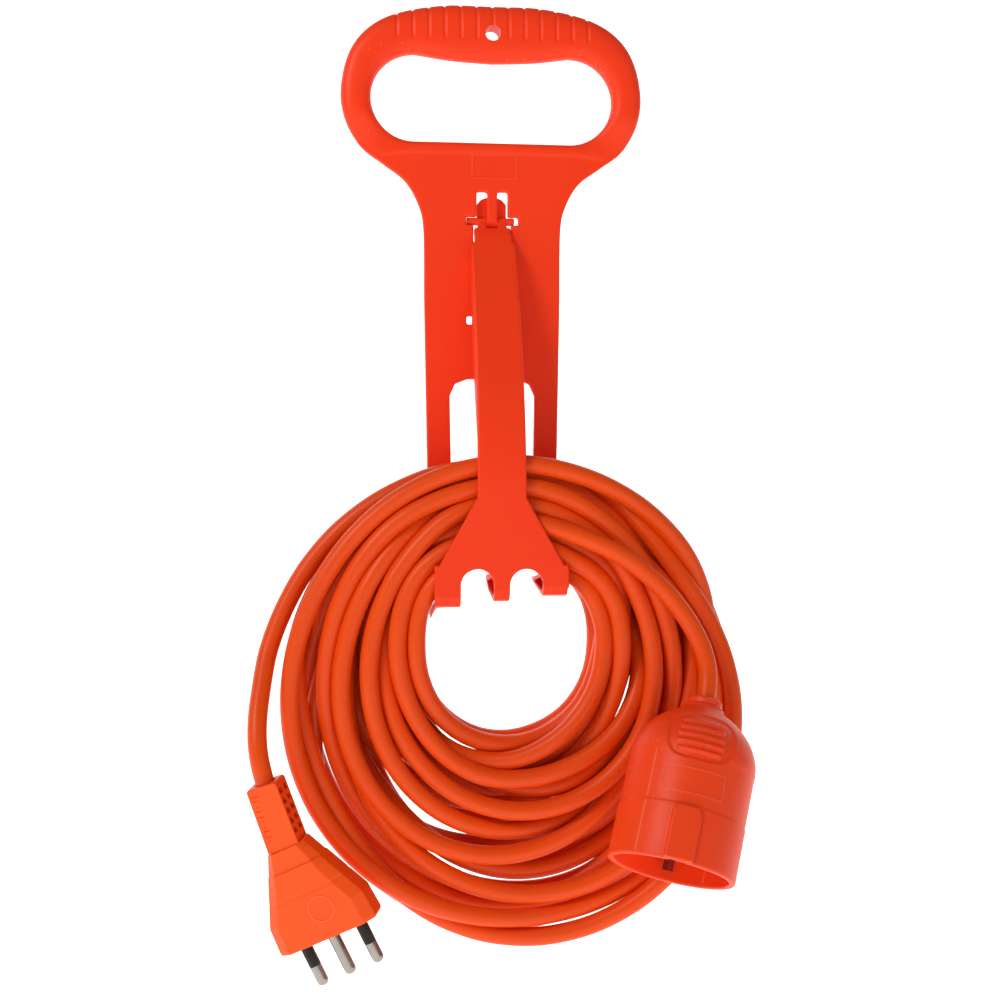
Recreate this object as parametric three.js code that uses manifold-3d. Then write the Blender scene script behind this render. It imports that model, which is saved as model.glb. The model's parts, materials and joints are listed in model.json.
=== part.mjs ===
// An extension cord on a carry-and-hang holder: a handle plate with a hinged clamp arm, a coil of
// round cord, a flat three-pin plug and a round portable socket.
// Millimetres, +Z up. The origin is the centre of the hanging hole, in the plate's middle plane.
// +X is the right-hand side of someone facing the arm, and +Y points to the plate's back.
import * as THREE from "three";
import { mergeVertices } from "three/addons/utils/BufferGeometryUtils.js";
import Module from "manifold-3d";

const wasm = await Module();
wasm.setup();

// ---------------------------------------------------------------- driving dimensions
const GAP = 0.3; // kept between neighbouring pieces
const PLATE = 3.5; // thickness of the holder's plate
const LOOP_DEPTH = 11; // depth of the rounded carry loop
const HANG_HOLE = 6.9; // diameter
const LEG_BOTTOM = -233; // lower end of the plate's legs
const TONGUE = 4.6; // width of the spring tongue that keeps the arm's pivot in
const SLOT_EDGE = 6.9; // outer edge of the two slots beside the tongue
const HINGE = { y: 1.3, z: -82.3, radius: 1.5, half: 10.3 }; // the arm's pivot bar
const ARM_TOP = 9.75; // half-width of the arm where it leaves the plate
const ARM_LOW = 10.35; // half-width where the fork starts to flare
const FORK = 28.4; // half-width of the fork
const FORK_FRONT = -40.7; // the fork's front face
const STRIP = 3; // thickness of the arm's front strip
const ARCH = { x: 10.35, z: -242, radius: 7.05 }; // the two arches between the fork's tines
const CORD = 8; // diameter of the cord
const COIL = { x: 6.5, z: -292.9, halfWidth: 99.6, halfHeight: 106.5, front: -37, back: -2.2 };
const HOLE = { x: 4.3, z: -270, halfWidth: 35.5, up: 34.5, down: 36.6, power: 2.6, low: 2 };
const CLEAR_ARC = 156.4; // radius about the hinge that the fork's upper side keeps to
const PLUG = { at: [-71, -46, -383.1], lean: 26.1, roll: -17, base: 22.3, shoulder: 21.7 };
const PLUG_BODY = { length: 40.6, top: 8.3, straight: 12, half: 8 };
const SLEEVE = { lean: 19.5, length: 26, width: 13.8, depth: 12.4 };
const PIN = { radius: 2.5, length: 19, pitch: 13, sleeve: 10 };
const SOCKET = { mouth: [63.4, -77.4, -354.6], neck: [84.2, -52.4, -288.4] };
const SHELL = { radius: 26, wall: 2.6, straight: 43.5, length: 69, keyTop: 22 };
const SOCKET_TURN = -12; // degrees that the socket is turned about its own axis
const INSERT = { front: 8.5, floor: 22, back: 36, recess: 19.5, spring: 3.5 };

// Middle lines of the two stretches of cord that aren't coiled.
const PLUG_TAIL = [
  [-82.9, -46, -358.9],
  [-88.9, -46, -346.6],
  [-93.8, -46.4, -333.3],
  [-98.2, -46.8, -321.1],
  [-101.1, -45, -308.5],
  [-101.4, -39.8, -295.3],
  [-99.8, -32.8, -282],
  [-97.8, -26.4, -270],
  [-95.8, -21.5, -259.5],
];
const SOCKET_TAIL = [
  [38, -41.6, -222.8],
  [48.5, -41.9, -228.2],
  [60, -42.5, -236.2],
  [72, -43.8, -248],
  [81.5, -45.8, -262.5],
  [85.6, -48.6, -275.5],
  [84.3, -52.3, -288.2],
  [80.3, -57.1, -300.8],
  [76.4, -61.8, -313.3],
];

// ---------------------------------------------------------------- solids and booleans
function solid(geometry) {
  const bare = geometry.clone();
  bare.deleteAttribute("normal");
  bare.deleteAttribute("uv");
  const merged = mergeVertices(bare, 1e-4);
  const mesh = new wasm.Mesh({
    numProp: 3,
    vertProperties: new Float32Array(merged.attributes.position.array),
    triVerts: new Uint32Array(merged.index.array),
  });
  return new wasm.Manifold(mesh);
}

function geometryOf(body) {
  const mesh = body.getMesh();
  const geometry = new THREE.BufferGeometry();
  geometry.setAttribute("position", new THREE.BufferAttribute(mesh.vertProperties, 3));
  geometry.setIndex(new THREE.BufferAttribute(mesh.triVerts, 1));
  geometry.computeVertexNormals();
  return geometry;
}

const join = (first, ...rest) => rest.reduce((sum, part) => sum.add(part), first);
const cut = (first, ...rest) => rest.reduce((left, part) => left.subtract(part), first);

function box(x0, x1, y0, y1, z0, z1) {
  const geometry = new THREE.BoxGeometry(x1 - x0, y1 - y0, z1 - z0);
  geometry.translate((x0 + x1) / 2, (y0 + y1) / 2, (z0 + z1) / 2);
  return solid(geometry);
}

// A cylinder between two points.
function rod(radius, from, to, sides = 20) {
  const a = new THREE.Vector3(...from);
  const b = new THREE.Vector3(...to);
  const geometry = new THREE.CylinderGeometry(radius, radius, a.distanceTo(b), sides);
  const turn = new THREE.Quaternion().setFromUnitVectors(
    new THREE.Vector3(0, 1, 0),
    b.clone().sub(a).normalize(),
  );
  geometry.applyQuaternion(turn);
  geometry.translate(...a.add(b).multiplyScalar(0.5).toArray());
  return solid(geometry);
}

// An outline drawn in X and Z, made solid from y0 (front) to y1 (back).
function slab(shape, y0, y1, options = {}) {
  const bevel = options.bevelThickness ?? 0;
  const geometry = new THREE.ExtrudeGeometry(shape, {
    depth: y1 - y0 - 2 * bevel,
    bevelEnabled: false,
    curveSegments: 10,
    ...options,
  });
  geometry.rotateX(Math.PI / 2);
  geometry.translate(0, y1 - bevel, 0);
  return solid(geometry);
}

// An outline drawn in Y and Z, made solid from x0 to x1.
function sideSlab(shape, x0, x1) {
  const geometry = new THREE.ExtrudeGeometry(shape, { depth: x1 - x0, bevelEnabled: false });
  const basis = new THREE.Matrix4().makeBasis(
    new THREE.Vector3(0, 1, 0),
    new THREE.Vector3(0, 0, 1),
    new THREE.Vector3(1, 0, 0),
  );
  geometry.applyMatrix4(basis);
  geometry.translate(x0, 0, 0);
  return solid(geometry);
}

// A profile of [radius, height] points turned about Z.
function turned(points, segments = 40) {
  const geometry = new THREE.LatheGeometry(
    points.map(([r, z]) => new THREE.Vector2(r, z)),
    segments,
  );
  geometry.rotateX(Math.PI / 2);
  return solid(geometry);
}

// A round tube with flat ends along a smooth line through the points.
function tube(points, diameter, sides, steps) {
  const path = new THREE.CatmullRomCurve3(points.map((p) => new THREE.Vector3(...p)));
  const ring = [];
  for (let i = 0; i < sides; i++) {
    const angle = (2 * Math.PI * i) / sides;
    ring.push(new THREE.Vector2(Math.cos(angle), Math.sin(angle)).multiplyScalar(diameter / 2));
  }
  return new THREE.ExtrudeGeometry(new THREE.Shape(ring), { steps, extrudePath: path });
}

const polygon = (points) => new THREE.Shape(points.map(([a, b]) => new THREE.Vector2(a, b)));

// The right half of a symmetrical outline, read from top to bottom, and its mirror image.
function mirrored(half) {
  const offAxis = half.filter(([x]) => Math.abs(x) > 1e-6);
  return polygon([...half, ...offAxis.map(([x, z]) => [-x, z]).reverse()].reverse());
}

function spline(points, divisions) {
  const curve = new THREE.SplineCurve(points.map(([a, b]) => new THREE.Vector2(a, b)));
  return curve.getPoints(divisions).map((p) => [p.x, p.y]);
}

// ---------------------------------------------------------------- the holder
const LOOP_OUTSIDE = [
  [0, 12.9],
  [22, 12.6],
  [43.4, 8.2],
  [56.5, 0.4],
  [64, -11],
  [67, -27],
  [64.6, -40],
  [57.9, -50.8],
];
const LOOP_INSIDE = [
  [0, -12.6],
  [18, -11.6],
  [34, -9.2],
  [45, -13],
  [52.3, -20.6],
  [53.8, -29],
  [51.2, -38],
  [44, -45],
  [34, -47.3],
  [0, -47.6],
];
const SHOULDER = [
  [57.9, -50.8],
  [48, -58.3],
  [38.7, -65.4],
  [32.8, -75.6],
  [30.5, -87],
  [30.2, -117],
];

function handlePlate() {
  const bevel = { bevelEnabled: true, bevelThickness: 3.4, bevelSize: 3.4, bevelOffset: -3.4 };
  const opening = slab(mirrored(spline(LOOP_INSIDE, 18)), -LOOP_DEPTH, LOOP_DEPTH);
  const rim = mirrored([...spline(LOOP_OUTSIDE, 16), [40, -51.6], [0, -51.2]]);
  const loop = slab(rim, -LOOP_DEPTH / 2, LOOP_DEPTH / 2, { ...bevel, bevelSegments: 2 });

  const half = PLATE / 2;
  const feet = [
    [28.9, -188],
    [28.4, LEG_BOTTOM + 2],
    [26.4, LEG_BOTTOM],
  ];
  const web = slab(mirrored([[44, -49], [52, -49.5], ...spline(SHOULDER, 14), ...feet]), -half, half);

  const legGap = mirrored([
    [11, -152.5],
    [16.5, -154.6],
    [18.9, -160],
    [17.8, LEG_BOTTOM + 12],
    [15.8, LEG_BOTTOM + 10],
  ]);
  const front = -half - 1;
  const back = half + 1;
  const tongueTip = HINGE.z - 0.6;
  const slots = [1, -1].map((side) => {
    const edges = [side * (TONGUE / 2), side * SLOT_EDGE].sort((a, b) => a - b);
    return box(...edges, front, back, tongueTip, -69.4);
  });
  const openings = [
    opening,
    ...slots,
    box(TONGUE / 2, 11.6, front, back, -84.1, -80.5),
    box(-11.6, -TONGUE / 2, front, back, -84.1, -80.5),
    box(-8.4, 8.4, front, back, -92, tongueTip),
    box(-TONGUE, TONGUE, -0.55, back, -92, -70.5),
    box(-11.5, 11.5, front, back, -128.2, -124.6),
    slab(legGap, front, back),
    rod(HANG_HOLE / 2, [0, -LOOP_DEPTH, 0], [0, LOOP_DEPTH, 0], 24),
  ];
  return geometryOf(cut(join(loop, web), ...openings));
}

// The middle of the arm's front strip, seen from the side, as [y, z].
const ARM_LINE = [
  [1.3, -82.3],
  [-1.8, -87.4],
  [-4.9, -92],
  [-15, -113],
  [-27, -142],
  [-35.2, -168],
  [-39, -192],
  [FORK_FRONT + STRIP / 2, -212],
  [FORK_FRONT + STRIP / 2, -236],
];

// The strip's outline: its middle line moved half its thickness to each side.
function stripOutline() {
  const line = new THREE.SplineCurve(ARM_LINE.map(([y, z]) => new THREE.Vector2(y, z)));
  const front = [];
  const back = [];
  for (let i = 0; i <= 22; i++) {
    const at = line.getPoint(i / 22);
    const along = line.getTangent(i / 22);
    const aside = new THREE.Vector2(-along.y, along.x).multiplyScalar(STRIP / 2);
    front.push(at.clone().sub(aside));
    back.unshift(at.clone().add(aside));
  }
  return new THREE.Shape([...front, ...back]);
}

// How far the coil's opening lies below its own highest point at a given x.
function holeDrop(x) {
  const share = Math.min(Math.abs((x - HOLE.x) / HOLE.halfWidth), 0.97);
  return HOLE.up * (1 - (1 - share ** HOLE.power) ** (1 / HOLE.power));
}

// The fork's tines, one after the other from the left: sides and the height of the underside.
const TINES = [
  { from: -FORK, to: -17.4, under: -251.2 },
  { from: -3.3, to: 3.3, under: -248.8 },
  { from: 17.4, to: FORK - 0.6, under: -246.6 },
];

// A tine's outline in Y and Z at one x. Its upper side is an arc about the hinge, so that the
// tine swings out from under the coil.
function tineSection(x, under) {
  const radius = CLEAR_ARC + holeDrop(x);
  const tip = HINGE.z - Math.sqrt(radius ** 2 - 5.3 ** 2);
  const points = [
    [FORK_FRONT, -233.5],
    [FORK_FRONT, under + 4.5],
    [FORK_FRONT + 1.5, under + 1.3],
    [FORK_FRONT + 5, under],
    [-14, Math.min(under + 3.4, tip - 3)],
    [-4, tip - 1.8],
  ];
  for (let i = 0; i <= 6; i++) {
    const y = -4 - ((FORK_FRONT + STRIP + 4) * -1 * i) / 6;
    points.push([y, HINGE.z - Math.sqrt(radius ** 2 - (y - HINGE.y) ** 2)]);
  }
  points.push([FORK_FRONT + STRIP, -233.5]);
  return points;
}

// A closed body through sections that all have the same number of points.
function loft(sections) {
  const count = sections[0].length;
  const positions = sections.flat(2);
  const index = [];
  for (let s = 0; s + 1 < sections.length; s++) {
    for (let i = 0; i < count; i++) {
      const a = s * count + i;
      const b = s * count + ((i + 1) % count);
      index.push(a, b, b + count, a, b + count, a + count);
    }
  }
  const flat = sections[0].map(([, y, z]) => new THREE.Vector2(y, z));
  const last = (sections.length - 1) * count;
  for (const [a, b, c] of THREE.ShapeUtils.triangulateShape(flat, [])) {
    index.push(a, c, b, last + a, last + b, last + c);
  }
  const geometry = new THREE.BufferGeometry();
  geometry.setAttribute("position", new THREE.Float32BufferAttribute(positions, 3));
  geometry.setIndex(index);
  return solid(geometry);
}

function tine({ from, to, under }) {
  const sections = [0, 0.25, 0.5, 0.75, 1].map((share) => {
    const x = from + (to - from) * share;
    return tineSection(x, under).map(([y, z]) => [x, y, z]);
  });
  return loft(sections);
}

function clampArm() {
  const strip = sideSlab(stripOutline(), -FORK - 1, FORK + 1);
  const outline = mirrored([
    [6.4, -78],
    [6.4, -85.9],
    [8.1, -86],
    [8.1, -92.6],
    [ARM_TOP - 1.2, -93],
    [ARM_TOP, -94.4],
    [ARM_LOW, -205],
    [FORK - 0.9, -235.5],
    [FORK, -238],
    [FORK, ARCH.z],
  ]);
  const arches = [ARCH.x, -ARCH.x].map((x) => rod(ARCH.radius, [x, -60, ARCH.z], [x, 0, ARCH.z], 28));
  const apron = box(-FORK, FORK, FORK_FRONT, FORK_FRONT + STRIP, ARCH.z, -235);
  const plate = cut(join(strip.intersect(slab(outline, -60, 10)), apron), ...arches);

  const flange = polygon([
    [-6.2, -96],
    [-2.4, -101],
    [-2.4, -106],
    [-6.5, -126],
    [-15.5, -150],
    [-27, -172],
    [-38.8, -192],
    [-35, -168],
    [-27, -142],
    [-15, -113],
  ]);
  const flanges = [
    sideSlab(flange, ARM_TOP - 1.9, ARM_TOP),
    sideSlab(flange, -ARM_TOP, -ARM_TOP + 1.9),
  ];

  const { y, z, radius, half } = HINGE;
  const bar = rod(radius, [-half, y, z], [half, y, z], 16);
  const tabOutline = mirrored([
    [2, -71.2],
    [4.6, -72.2],
    [6.6, -74.4],
    [6.6, z],
  ]);
  const tab = slab(tabOutline, PLATE / 2 + GAP, PLATE / 2 + GAP + 2.4);
  // Room for the tongue, which stands in front of the bar at every opening angle.
  const side = TONGUE / 2 + 0.5;
  const reach = 3.5;
  const tongueRoom = rod(reach, [-side, y, z], [side, y, z], 24);
  const tongueWedge = box(-side, side, y - 9.3, y - 1.2, z - reach, z + 6);
  const solids = cut(join(plate, ...flanges, ...TINES.map(tine)), tongueRoom, tongueWedge);
  const spine = box(-6, 6, y + 0.9, y + 2.4, z - 5, z);
  return geometryOf(join(solids, bar, spine, tab));
}

// ---------------------------------------------------------------- the coil
// A turned ring whose inside is then fitted to the coil's opening and its outside to an ellipse,
// so that the bundle is thin at the top, where it hangs, and thick at the bottom.
function coil() {
  const profile = [
    [0, -0.35],
    [0.09, -0.78],
    [0.25, -1],
    [0.82, -1],
    [1, -0.5],
    [1, 0.5],
    [0.82, 1],
    [0.25, 1],
    [0.09, 0.78],
    [0, 0.35],
    [0, -0.35],
  ];
  const inner = 1; // the ring's own inner radius, before it is fitted
  const geometry = new THREE.LatheGeometry(
    profile.map(([share, depth]) => new THREE.Vector2(inner + share, depth)),
    44,
  );
  const position = geometry.attributes.position;
  const middle = (COIL.front + COIL.back) / 2;
  const halfDepth = (COIL.back - COIL.front) / 2;
  for (let i = 0; i < position.count; i++) {
    const angle = Math.atan2(position.getZ(i), position.getX(i));
    const share = Math.hypot(position.getX(i), position.getZ(i)) - inner;
    const c = Math.cos(angle);
    const s = Math.sin(angle);
    const height = s > 0 ? HOLE.up : HOLE.down;
    const power = s > 0 ? HOLE.power : HOLE.low;
    const round = (Math.abs(c) ** power + Math.abs(s) ** power) ** (-1 / power);
    const inX = HOLE.x + HOLE.halfWidth * c * round;
    const inZ = HOLE.z + height * s * round;
    const outX = COIL.x + COIL.halfWidth * c;
    const outZ = COIL.z + COIL.halfHeight * s;
    const x = inX + (outX - inX) * share;
    const z = inZ + (outZ - inZ) * share;
    position.setXYZ(i, x, middle + halfDepth * position.getY(i), z);
  }
  return geometryOf(solid(geometry));
}

// ---------------------------------------------------------------- the plug
// In the plug's own frame the pins point to -Z, +X is its wide side and -Y its face.
function plugOutline(inset) {
  const { length, top, straight } = PLUG_BODY;
  return mirrored([
    [top - inset, length],
    [PLUG.shoulder - inset, straight],
    [PLUG.base - inset, 2],
    [PLUG.base - 1.6 - inset, 0],
  ]);
}

function plugBody() {
  const { half, length } = PLUG_BODY;
  const bevel = { bevelEnabled: true, bevelThickness: 2.2, bevelSize: 2.2, bevelOffset: -2.2 };
  const outside = slab(plugOutline(0), -half, half, { ...bevel, bevelSegments: 2 });
  const cavity = mirrored([
    [4.6, length + 2],
    [4.6, 25],
    [17, 15],
    [17, 3],
  ]);
  const holes = [-1, 0, 1].map((i) => {
    return rod(PIN.radius + 0.5, [i * PIN.pitch, 0, -2], [i * PIN.pitch, 0, 5], 24);
  });
  return geometryOf(cut(outside, slab(cavity, -4.9, 4.9), ...holes));
}

function plugBridge() {
  const holes = [-1, 0, 1].map((i) => {
    return rod(PIN.radius + GAP, [i * PIN.pitch, 0, 2], [i * PIN.pitch, 0, 15], 20);
  });
  return geometryOf(cut(box(-16.6, 16.6, -4.5, 4.5, 3.4, 12.5), ...holes));
}

// A pin with a rounded tip, from inside the bridge to its free end.
function pinShape(neck) {
  const r = PIN.radius;
  const foot = -PIN.length;
  const profile = [
    [0, foot],
    [r * 0.5, foot + 0.35],
    [r * 0.87, foot + 1.2],
    [r, foot + 2.5],
    [r, -PIN.sleeve],
    [neck, -PIN.sleeve],
    [neck, 0.4],
    [r, 0.4],
    [r, 13],
    [0, 13],
  ];
  return turned(profile, 20);
}

// The black sleeve around the root of a live pin.
const pinSleeve = () => {
  const profile = [
    [2.05, -PIN.sleeve + 0.1],
    [2.5, -PIN.sleeve + 0.1],
    [2.5, 0.1],
    [2.05, 0.1],
    [2.05, -PIN.sleeve + 0.1],
  ];
  return turned(profile, 20);
};

function plugCore(i) {
  const x = i * PIN.pitch;
  const lane = i * 2.7;
  const route = [
    [x, 0, 13.4],
    [x * 0.93, 0, 15.2],
    [x * 0.5 + lane * 0.3, 0, 19.4],
    [lane, 0, 24],
    [lane, 0, 26.6],
  ];
  return tube(route, 2.3, 8, 12);
}

// The strain relief is a square sleeve with a row of slots along both of its edges.
function plugStrainRelief() {
  const { length, width, depth } = SLEEVE;
  const outline = mirrored([
    [width / 2, 0],
    [width / 2 - 0.3, length - 2],
    [width / 2 - 2, length],
  ]);
  const outside = slab(outline, -depth / 2, depth / 2);
  const slots = [];
  for (let i = 0; i < 5; i++) {
    const z = 3.4 + i * 4.3;
    slots.push(box(4.9, width, -depth, -1, z, z + 2.3));
    slots.push(box(-width, -4.9, -depth, -1, z, z + 2.3));
    slots.push(box(4.9, width, 1, depth, z, z + 2.3));
    slots.push(box(-width, -4.9, 1, depth, z, z + 2.3));
  }
  const bore = rod(CORD / 2 + 0.55, [0, 0, -2], [0, 0, length + 2], 20);
  return geometryOf(cut(outside, bore, ...slots));
}

// ---------------------------------------------------------------- the socket
// In the socket's own frame the mouth is at z = 0, the cord leaves at +Z and -Y is the front.
function socketShell() {
  const { radius, wall, straight, length } = SHELL;
  const inside = radius - wall;
  const profile = [
    [inside, 0],
    [radius, 0],
    [radius, straight],
    [radius - 0.9, straight + 6],
    [radius - 4.2, straight + 13],
    [radius - 10, straight + 19],
    [9.4, length - 2],
    [8.4, length],
    [4.6, length],
    [4.6, length - 3.4],
    [radius - 13, straight + 16.4],
    [inside - 3.6, straight + 11],
    [inside - 0.6, straight + 5],
    [inside, straight],
    [inside, 0],
  ];
  const key = mirrored([
    [4.4, SHELL.keyTop],
    [5.6, SHELL.keyTop - 2.5],
    [5.6, 0.4],
  ]);
  const rib = slab(key, -radius - 1.3, -radius + 1);
  const body = turned(profile, 44).add(rib);
  return geometryOf(cut(body, insertScrewHole()));
}

const SCREW_TURN = (Math.PI * 3) / 4; // where round the socket the insert's screw sits
const SCREW_HEIGHT = 13;
const radial = (r) => [r * Math.cos(SCREW_TURN), r * Math.sin(SCREW_TURN), SCREW_HEIGHT];

function insertScrewHole() {
  return join(rod(1.6, radial(18), radial(30), 14), rod(2.8, radial(25), radial(30), 16));
}

function insertScrew() {
  return geometryOf(join(rod(1.2, radial(20), radial(25.6), 12), rod(2.3, radial(25.4), radial(26), 14)));
}

// Half-widths and middles of the three contact pockets, from -X to +X.
const POCKETS = [
  { name: "line", x: -11.3, half: 5.4 },
  { name: "earth", x: 0, half: 3.7 },
  { name: "neutral", x: 11.3, half: 5.4 },
];

function socketInsert() {
  const { front, floor, back, recess } = INSERT;
  const outside = SHELL.radius - SHELL.wall - 0.4;
  const profile = [
    [0, back],
    [outside, back],
    [outside, front],
    [recess, front],
    [recess, floor],
    [0, floor],
  ];
  const cup = turned([...profile].reverse(), 44);
  const posts = [1, -1].map((side) => {
    const edges = [side * 5.2, side * 11].sort((a, b) => a - b);
    return box(...edges, 3.2, 9, back - 1, 54);
  });
  const cuts = [insertScrewHole()];
  for (const { x, half } of POCKETS) cuts.push(box(x - half, x + half, -4.4, 4.4, floor + 3, back + 1));
  for (const x of [-13, -9.5, 0, 9.5, 13]) cuts.push(rod(2.8, [x, 0, floor - 1], [x, 0, floor + 4], 18));
  for (const side of [1, -1]) {
    const edges = [side * 18, side * 20.3].sort((a, b) => a - b);
    cuts.push(box(-2.6, 2.6, ...edges, front - 1, back + 1));
    cuts.push(rod(1.3, [side * CLAMP.half, 0, CLAMP.z], [side * CLAMP.half, 10, CLAMP.z], 12));
  }
  return geometryOf(cut(join(cup, ...posts), ...cuts));
}

// A folded spring contact with a slot for the pin, in its pocket behind the insert's floor.
function contact({ x, half }) {
  const outside = box(x - half + 0.4, x + half - 0.4, -4, 4, INSERT.floor + 3.4, INSERT.back - 1);
  const slot = box(x - half + 1.6, x + half - 1.6, -2.6, 2.6, INSERT.floor + 1, INSERT.back - 3);
  return geometryOf(outside.subtract(slot));
}

// The earth strap: two side springs in the recess, joined behind the insert.
function earthStrap() {
  const { spring, back } = INSERT;
  const legs = [1, -1].map((side) => {
    const edges = [side * 18.6, side * 19.5].sort((a, b) => a - b);
    return box(-2.2, 2.2, ...edges, spring, back + 2.4);
  });
  const across = box(-2.2, 2.2, -19.5, 19.5, back + 1.5, back + 2.4);
  return geometryOf(join(across, ...legs));
}

function socketCore({ x }) {
  const lane = Math.sign(x) * 2.7;
  const y = x === 0 ? 2.4 : 0;
  const z = INSERT.back + 3.4;
  const route = [
    [x, y, z],
    [x * 0.9, y * 0.8, z + 1.6],
    [lane * 1.6, y * 0.4, z + 4],
    [lane, 0, z + 6],
  ];
  return tube(route, 2.2, 8, 10);
}

// The bar that holds the cord to the insert's posts, and its two screws.
const CLAMP = { half: 8, z: 52, front: -7.6, back: -4.6 };

function cordClamp() {
  const { half, z, front, back } = CLAMP;
  const holes = [half, -half].map((x) => rod(1.6, [x, front - 2, z], [x, back + 2, z], 12));
  return geometryOf(cut(box(-half - 3, half + 3, front, back, z - 2.5, z + 2), ...holes));
}

function clampScrew(x) {
  const { z, front } = CLAMP;
  const thread = rod(1, [x, front - GAP - 0.1, z], [x, 7.6, z], 12);
  const head = rod(2.2, [x, front - GAP - 1.5, z], [x, front - GAP, z], 14);
  return geometryOf(join(thread, head));
}

function socketGrommet() {
  const base = SHELL.length + GAP;
  const profile = [
    [4.6, base],
    [7.2, base],
    [7.2, base + 2.6],
    [6.4, base + 3.4],
    [4.6, base + 3.4],
    [4.6, base],
  ];
  return geometryOf(turned(profile, 28));
}

// ---------------------------------------------------------------- colours and assembly
const finish = (color, roughness, metalness) => () => {
  return new THREE.MeshStandardMaterial({ color, roughness, metalness });
};
const HOLDER = finish(0xf23f1b, 0.5, 0);
const JACKET = finish(0xef5511, 0.45, 0);
const PLUG_PVC = finish(0xf25a14, 0.5, 0);
const SOCKET_PVC = finish(0xee4318, 0.45, 0);
const CARRIER = finish(0xe8e4da, 0.5, 0);
const NICKEL = finish(0xc9c6bf, 0.25, 1);
const BRASS = finish(0xb5923f, 0.35, 1);
const STEEL = finish(0xa9abad, 0.35, 1);
const BLACK = finish(0x151515, 0.5, 0);
const CORE_COLOURS = [finish(0x5a3418, 0.5, 0), finish(0x3d8a2e, 0.5, 0), finish(0x1f4fa8, 0.5, 0)];

const object = new THREE.Group();

function place(parent, name, geometry, material) {
  const mesh = new THREE.Mesh(geometry, material());
  mesh.name = name;
  parent.add(mesh);
}

place(object, "handle_plate", handlePlate(), HOLDER);
place(object, "clamp_arm", clampArm(), HOLDER);
place(object, "cord_coil", coil(), JACKET);
place(object, "cord_plug_tail", tube(PLUG_TAIL, CORD, 10, 36), JACKET);
place(object, "cord_socket_tail", tube(SOCKET_TAIL, CORD, 10, 44), JACKET);

const CORE_NAMES = ["brown", "green_yellow", "blue"];
const plug = new THREE.Group();
plug.position.set(...PLUG.at);
plug.rotation.set(0, THREE.MathUtils.degToRad(-PLUG.lean), THREE.MathUtils.degToRad(PLUG.roll), "YXZ");
object.add(plug);
place(plug, "plug_body", plugBody(), PLUG_PVC);
place(plug, "plug_bridge", plugBridge(), CARRIER);
["line", "earth", "neutral"].forEach((name, i) => {
  const sleeved = name !== "earth";
  const pin = new THREE.Group();
  pin.position.x = (i - 1) * PIN.pitch;
  plug.add(pin);
  place(pin, `${name}_pin`, geometryOf(pinShape(sleeved ? 1.75 : PIN.radius - 0.02)), NICKEL);
  if (sleeved) place(pin, `${name}_pin_sleeve`, geometryOf(pinSleeve()), BLACK);
  place(plug, `plug_core_${CORE_NAMES[i]}`, plugCore(i - 1), CORE_COLOURS[i]);
});

// The sleeve leans less than the plug body, and starts where the body ends.
const sleeve = new THREE.Group();
sleeve.position.set(0, 0, PLUG_BODY.length + 1.2);
sleeve.rotation.y = THREE.MathUtils.degToRad(PLUG.lean - SLEEVE.lean);
plug.add(sleeve);
place(sleeve, "plug_strain_relief", plugStrainRelief(), PLUG_PVC);

const mouth = new THREE.Vector3(...SOCKET.mouth);
const socketAxis = new THREE.Vector3(...SOCKET.neck).sub(mouth).normalize();
const socketBack = new THREE.Vector3(0, 1, 0).addScaledVector(socketAxis, -socketAxis.y).normalize();
const socketSide = new THREE.Vector3().crossVectors(socketBack, socketAxis);
const socket = new THREE.Group();
socket.position.copy(mouth);
socket.quaternion.setFromRotationMatrix(
  new THREE.Matrix4().makeBasis(socketSide, socketBack, socketAxis),
);
socket.rotateZ(THREE.MathUtils.degToRad(SOCKET_TURN));
object.add(socket);
place(socket, "socket_shell", socketShell(), SOCKET_PVC);
place(socket, "socket_insert", socketInsert(), SOCKET_PVC);
place(socket, "socket_grommet", socketGrommet(), SOCKET_PVC);
place(socket, "earth_strap", earthStrap(), NICKEL);
POCKETS.forEach((pocket, i) => {
  place(socket, `${pocket.name}_contact`, contact(pocket), BRASS);
  place(socket, `socket_core_${CORE_NAMES[i]}`, socketCore(pocket), CORE_COLOURS[i]);
});
place(socket, "cord_clamp", cordClamp(), BLACK);
place(socket, "clamp_screw_1", clampScrew(-CLAMP.half), STEEL);
place(socket, "clamp_screw_2", clampScrew(CLAMP.half), STEEL);
place(socket, "insert_screw", insertScrew(), STEEL);

export default object;
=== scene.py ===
import json
import math

import bmesh
import bpy
import numpy as np
from mathutils import Matrix, Vector

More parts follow.
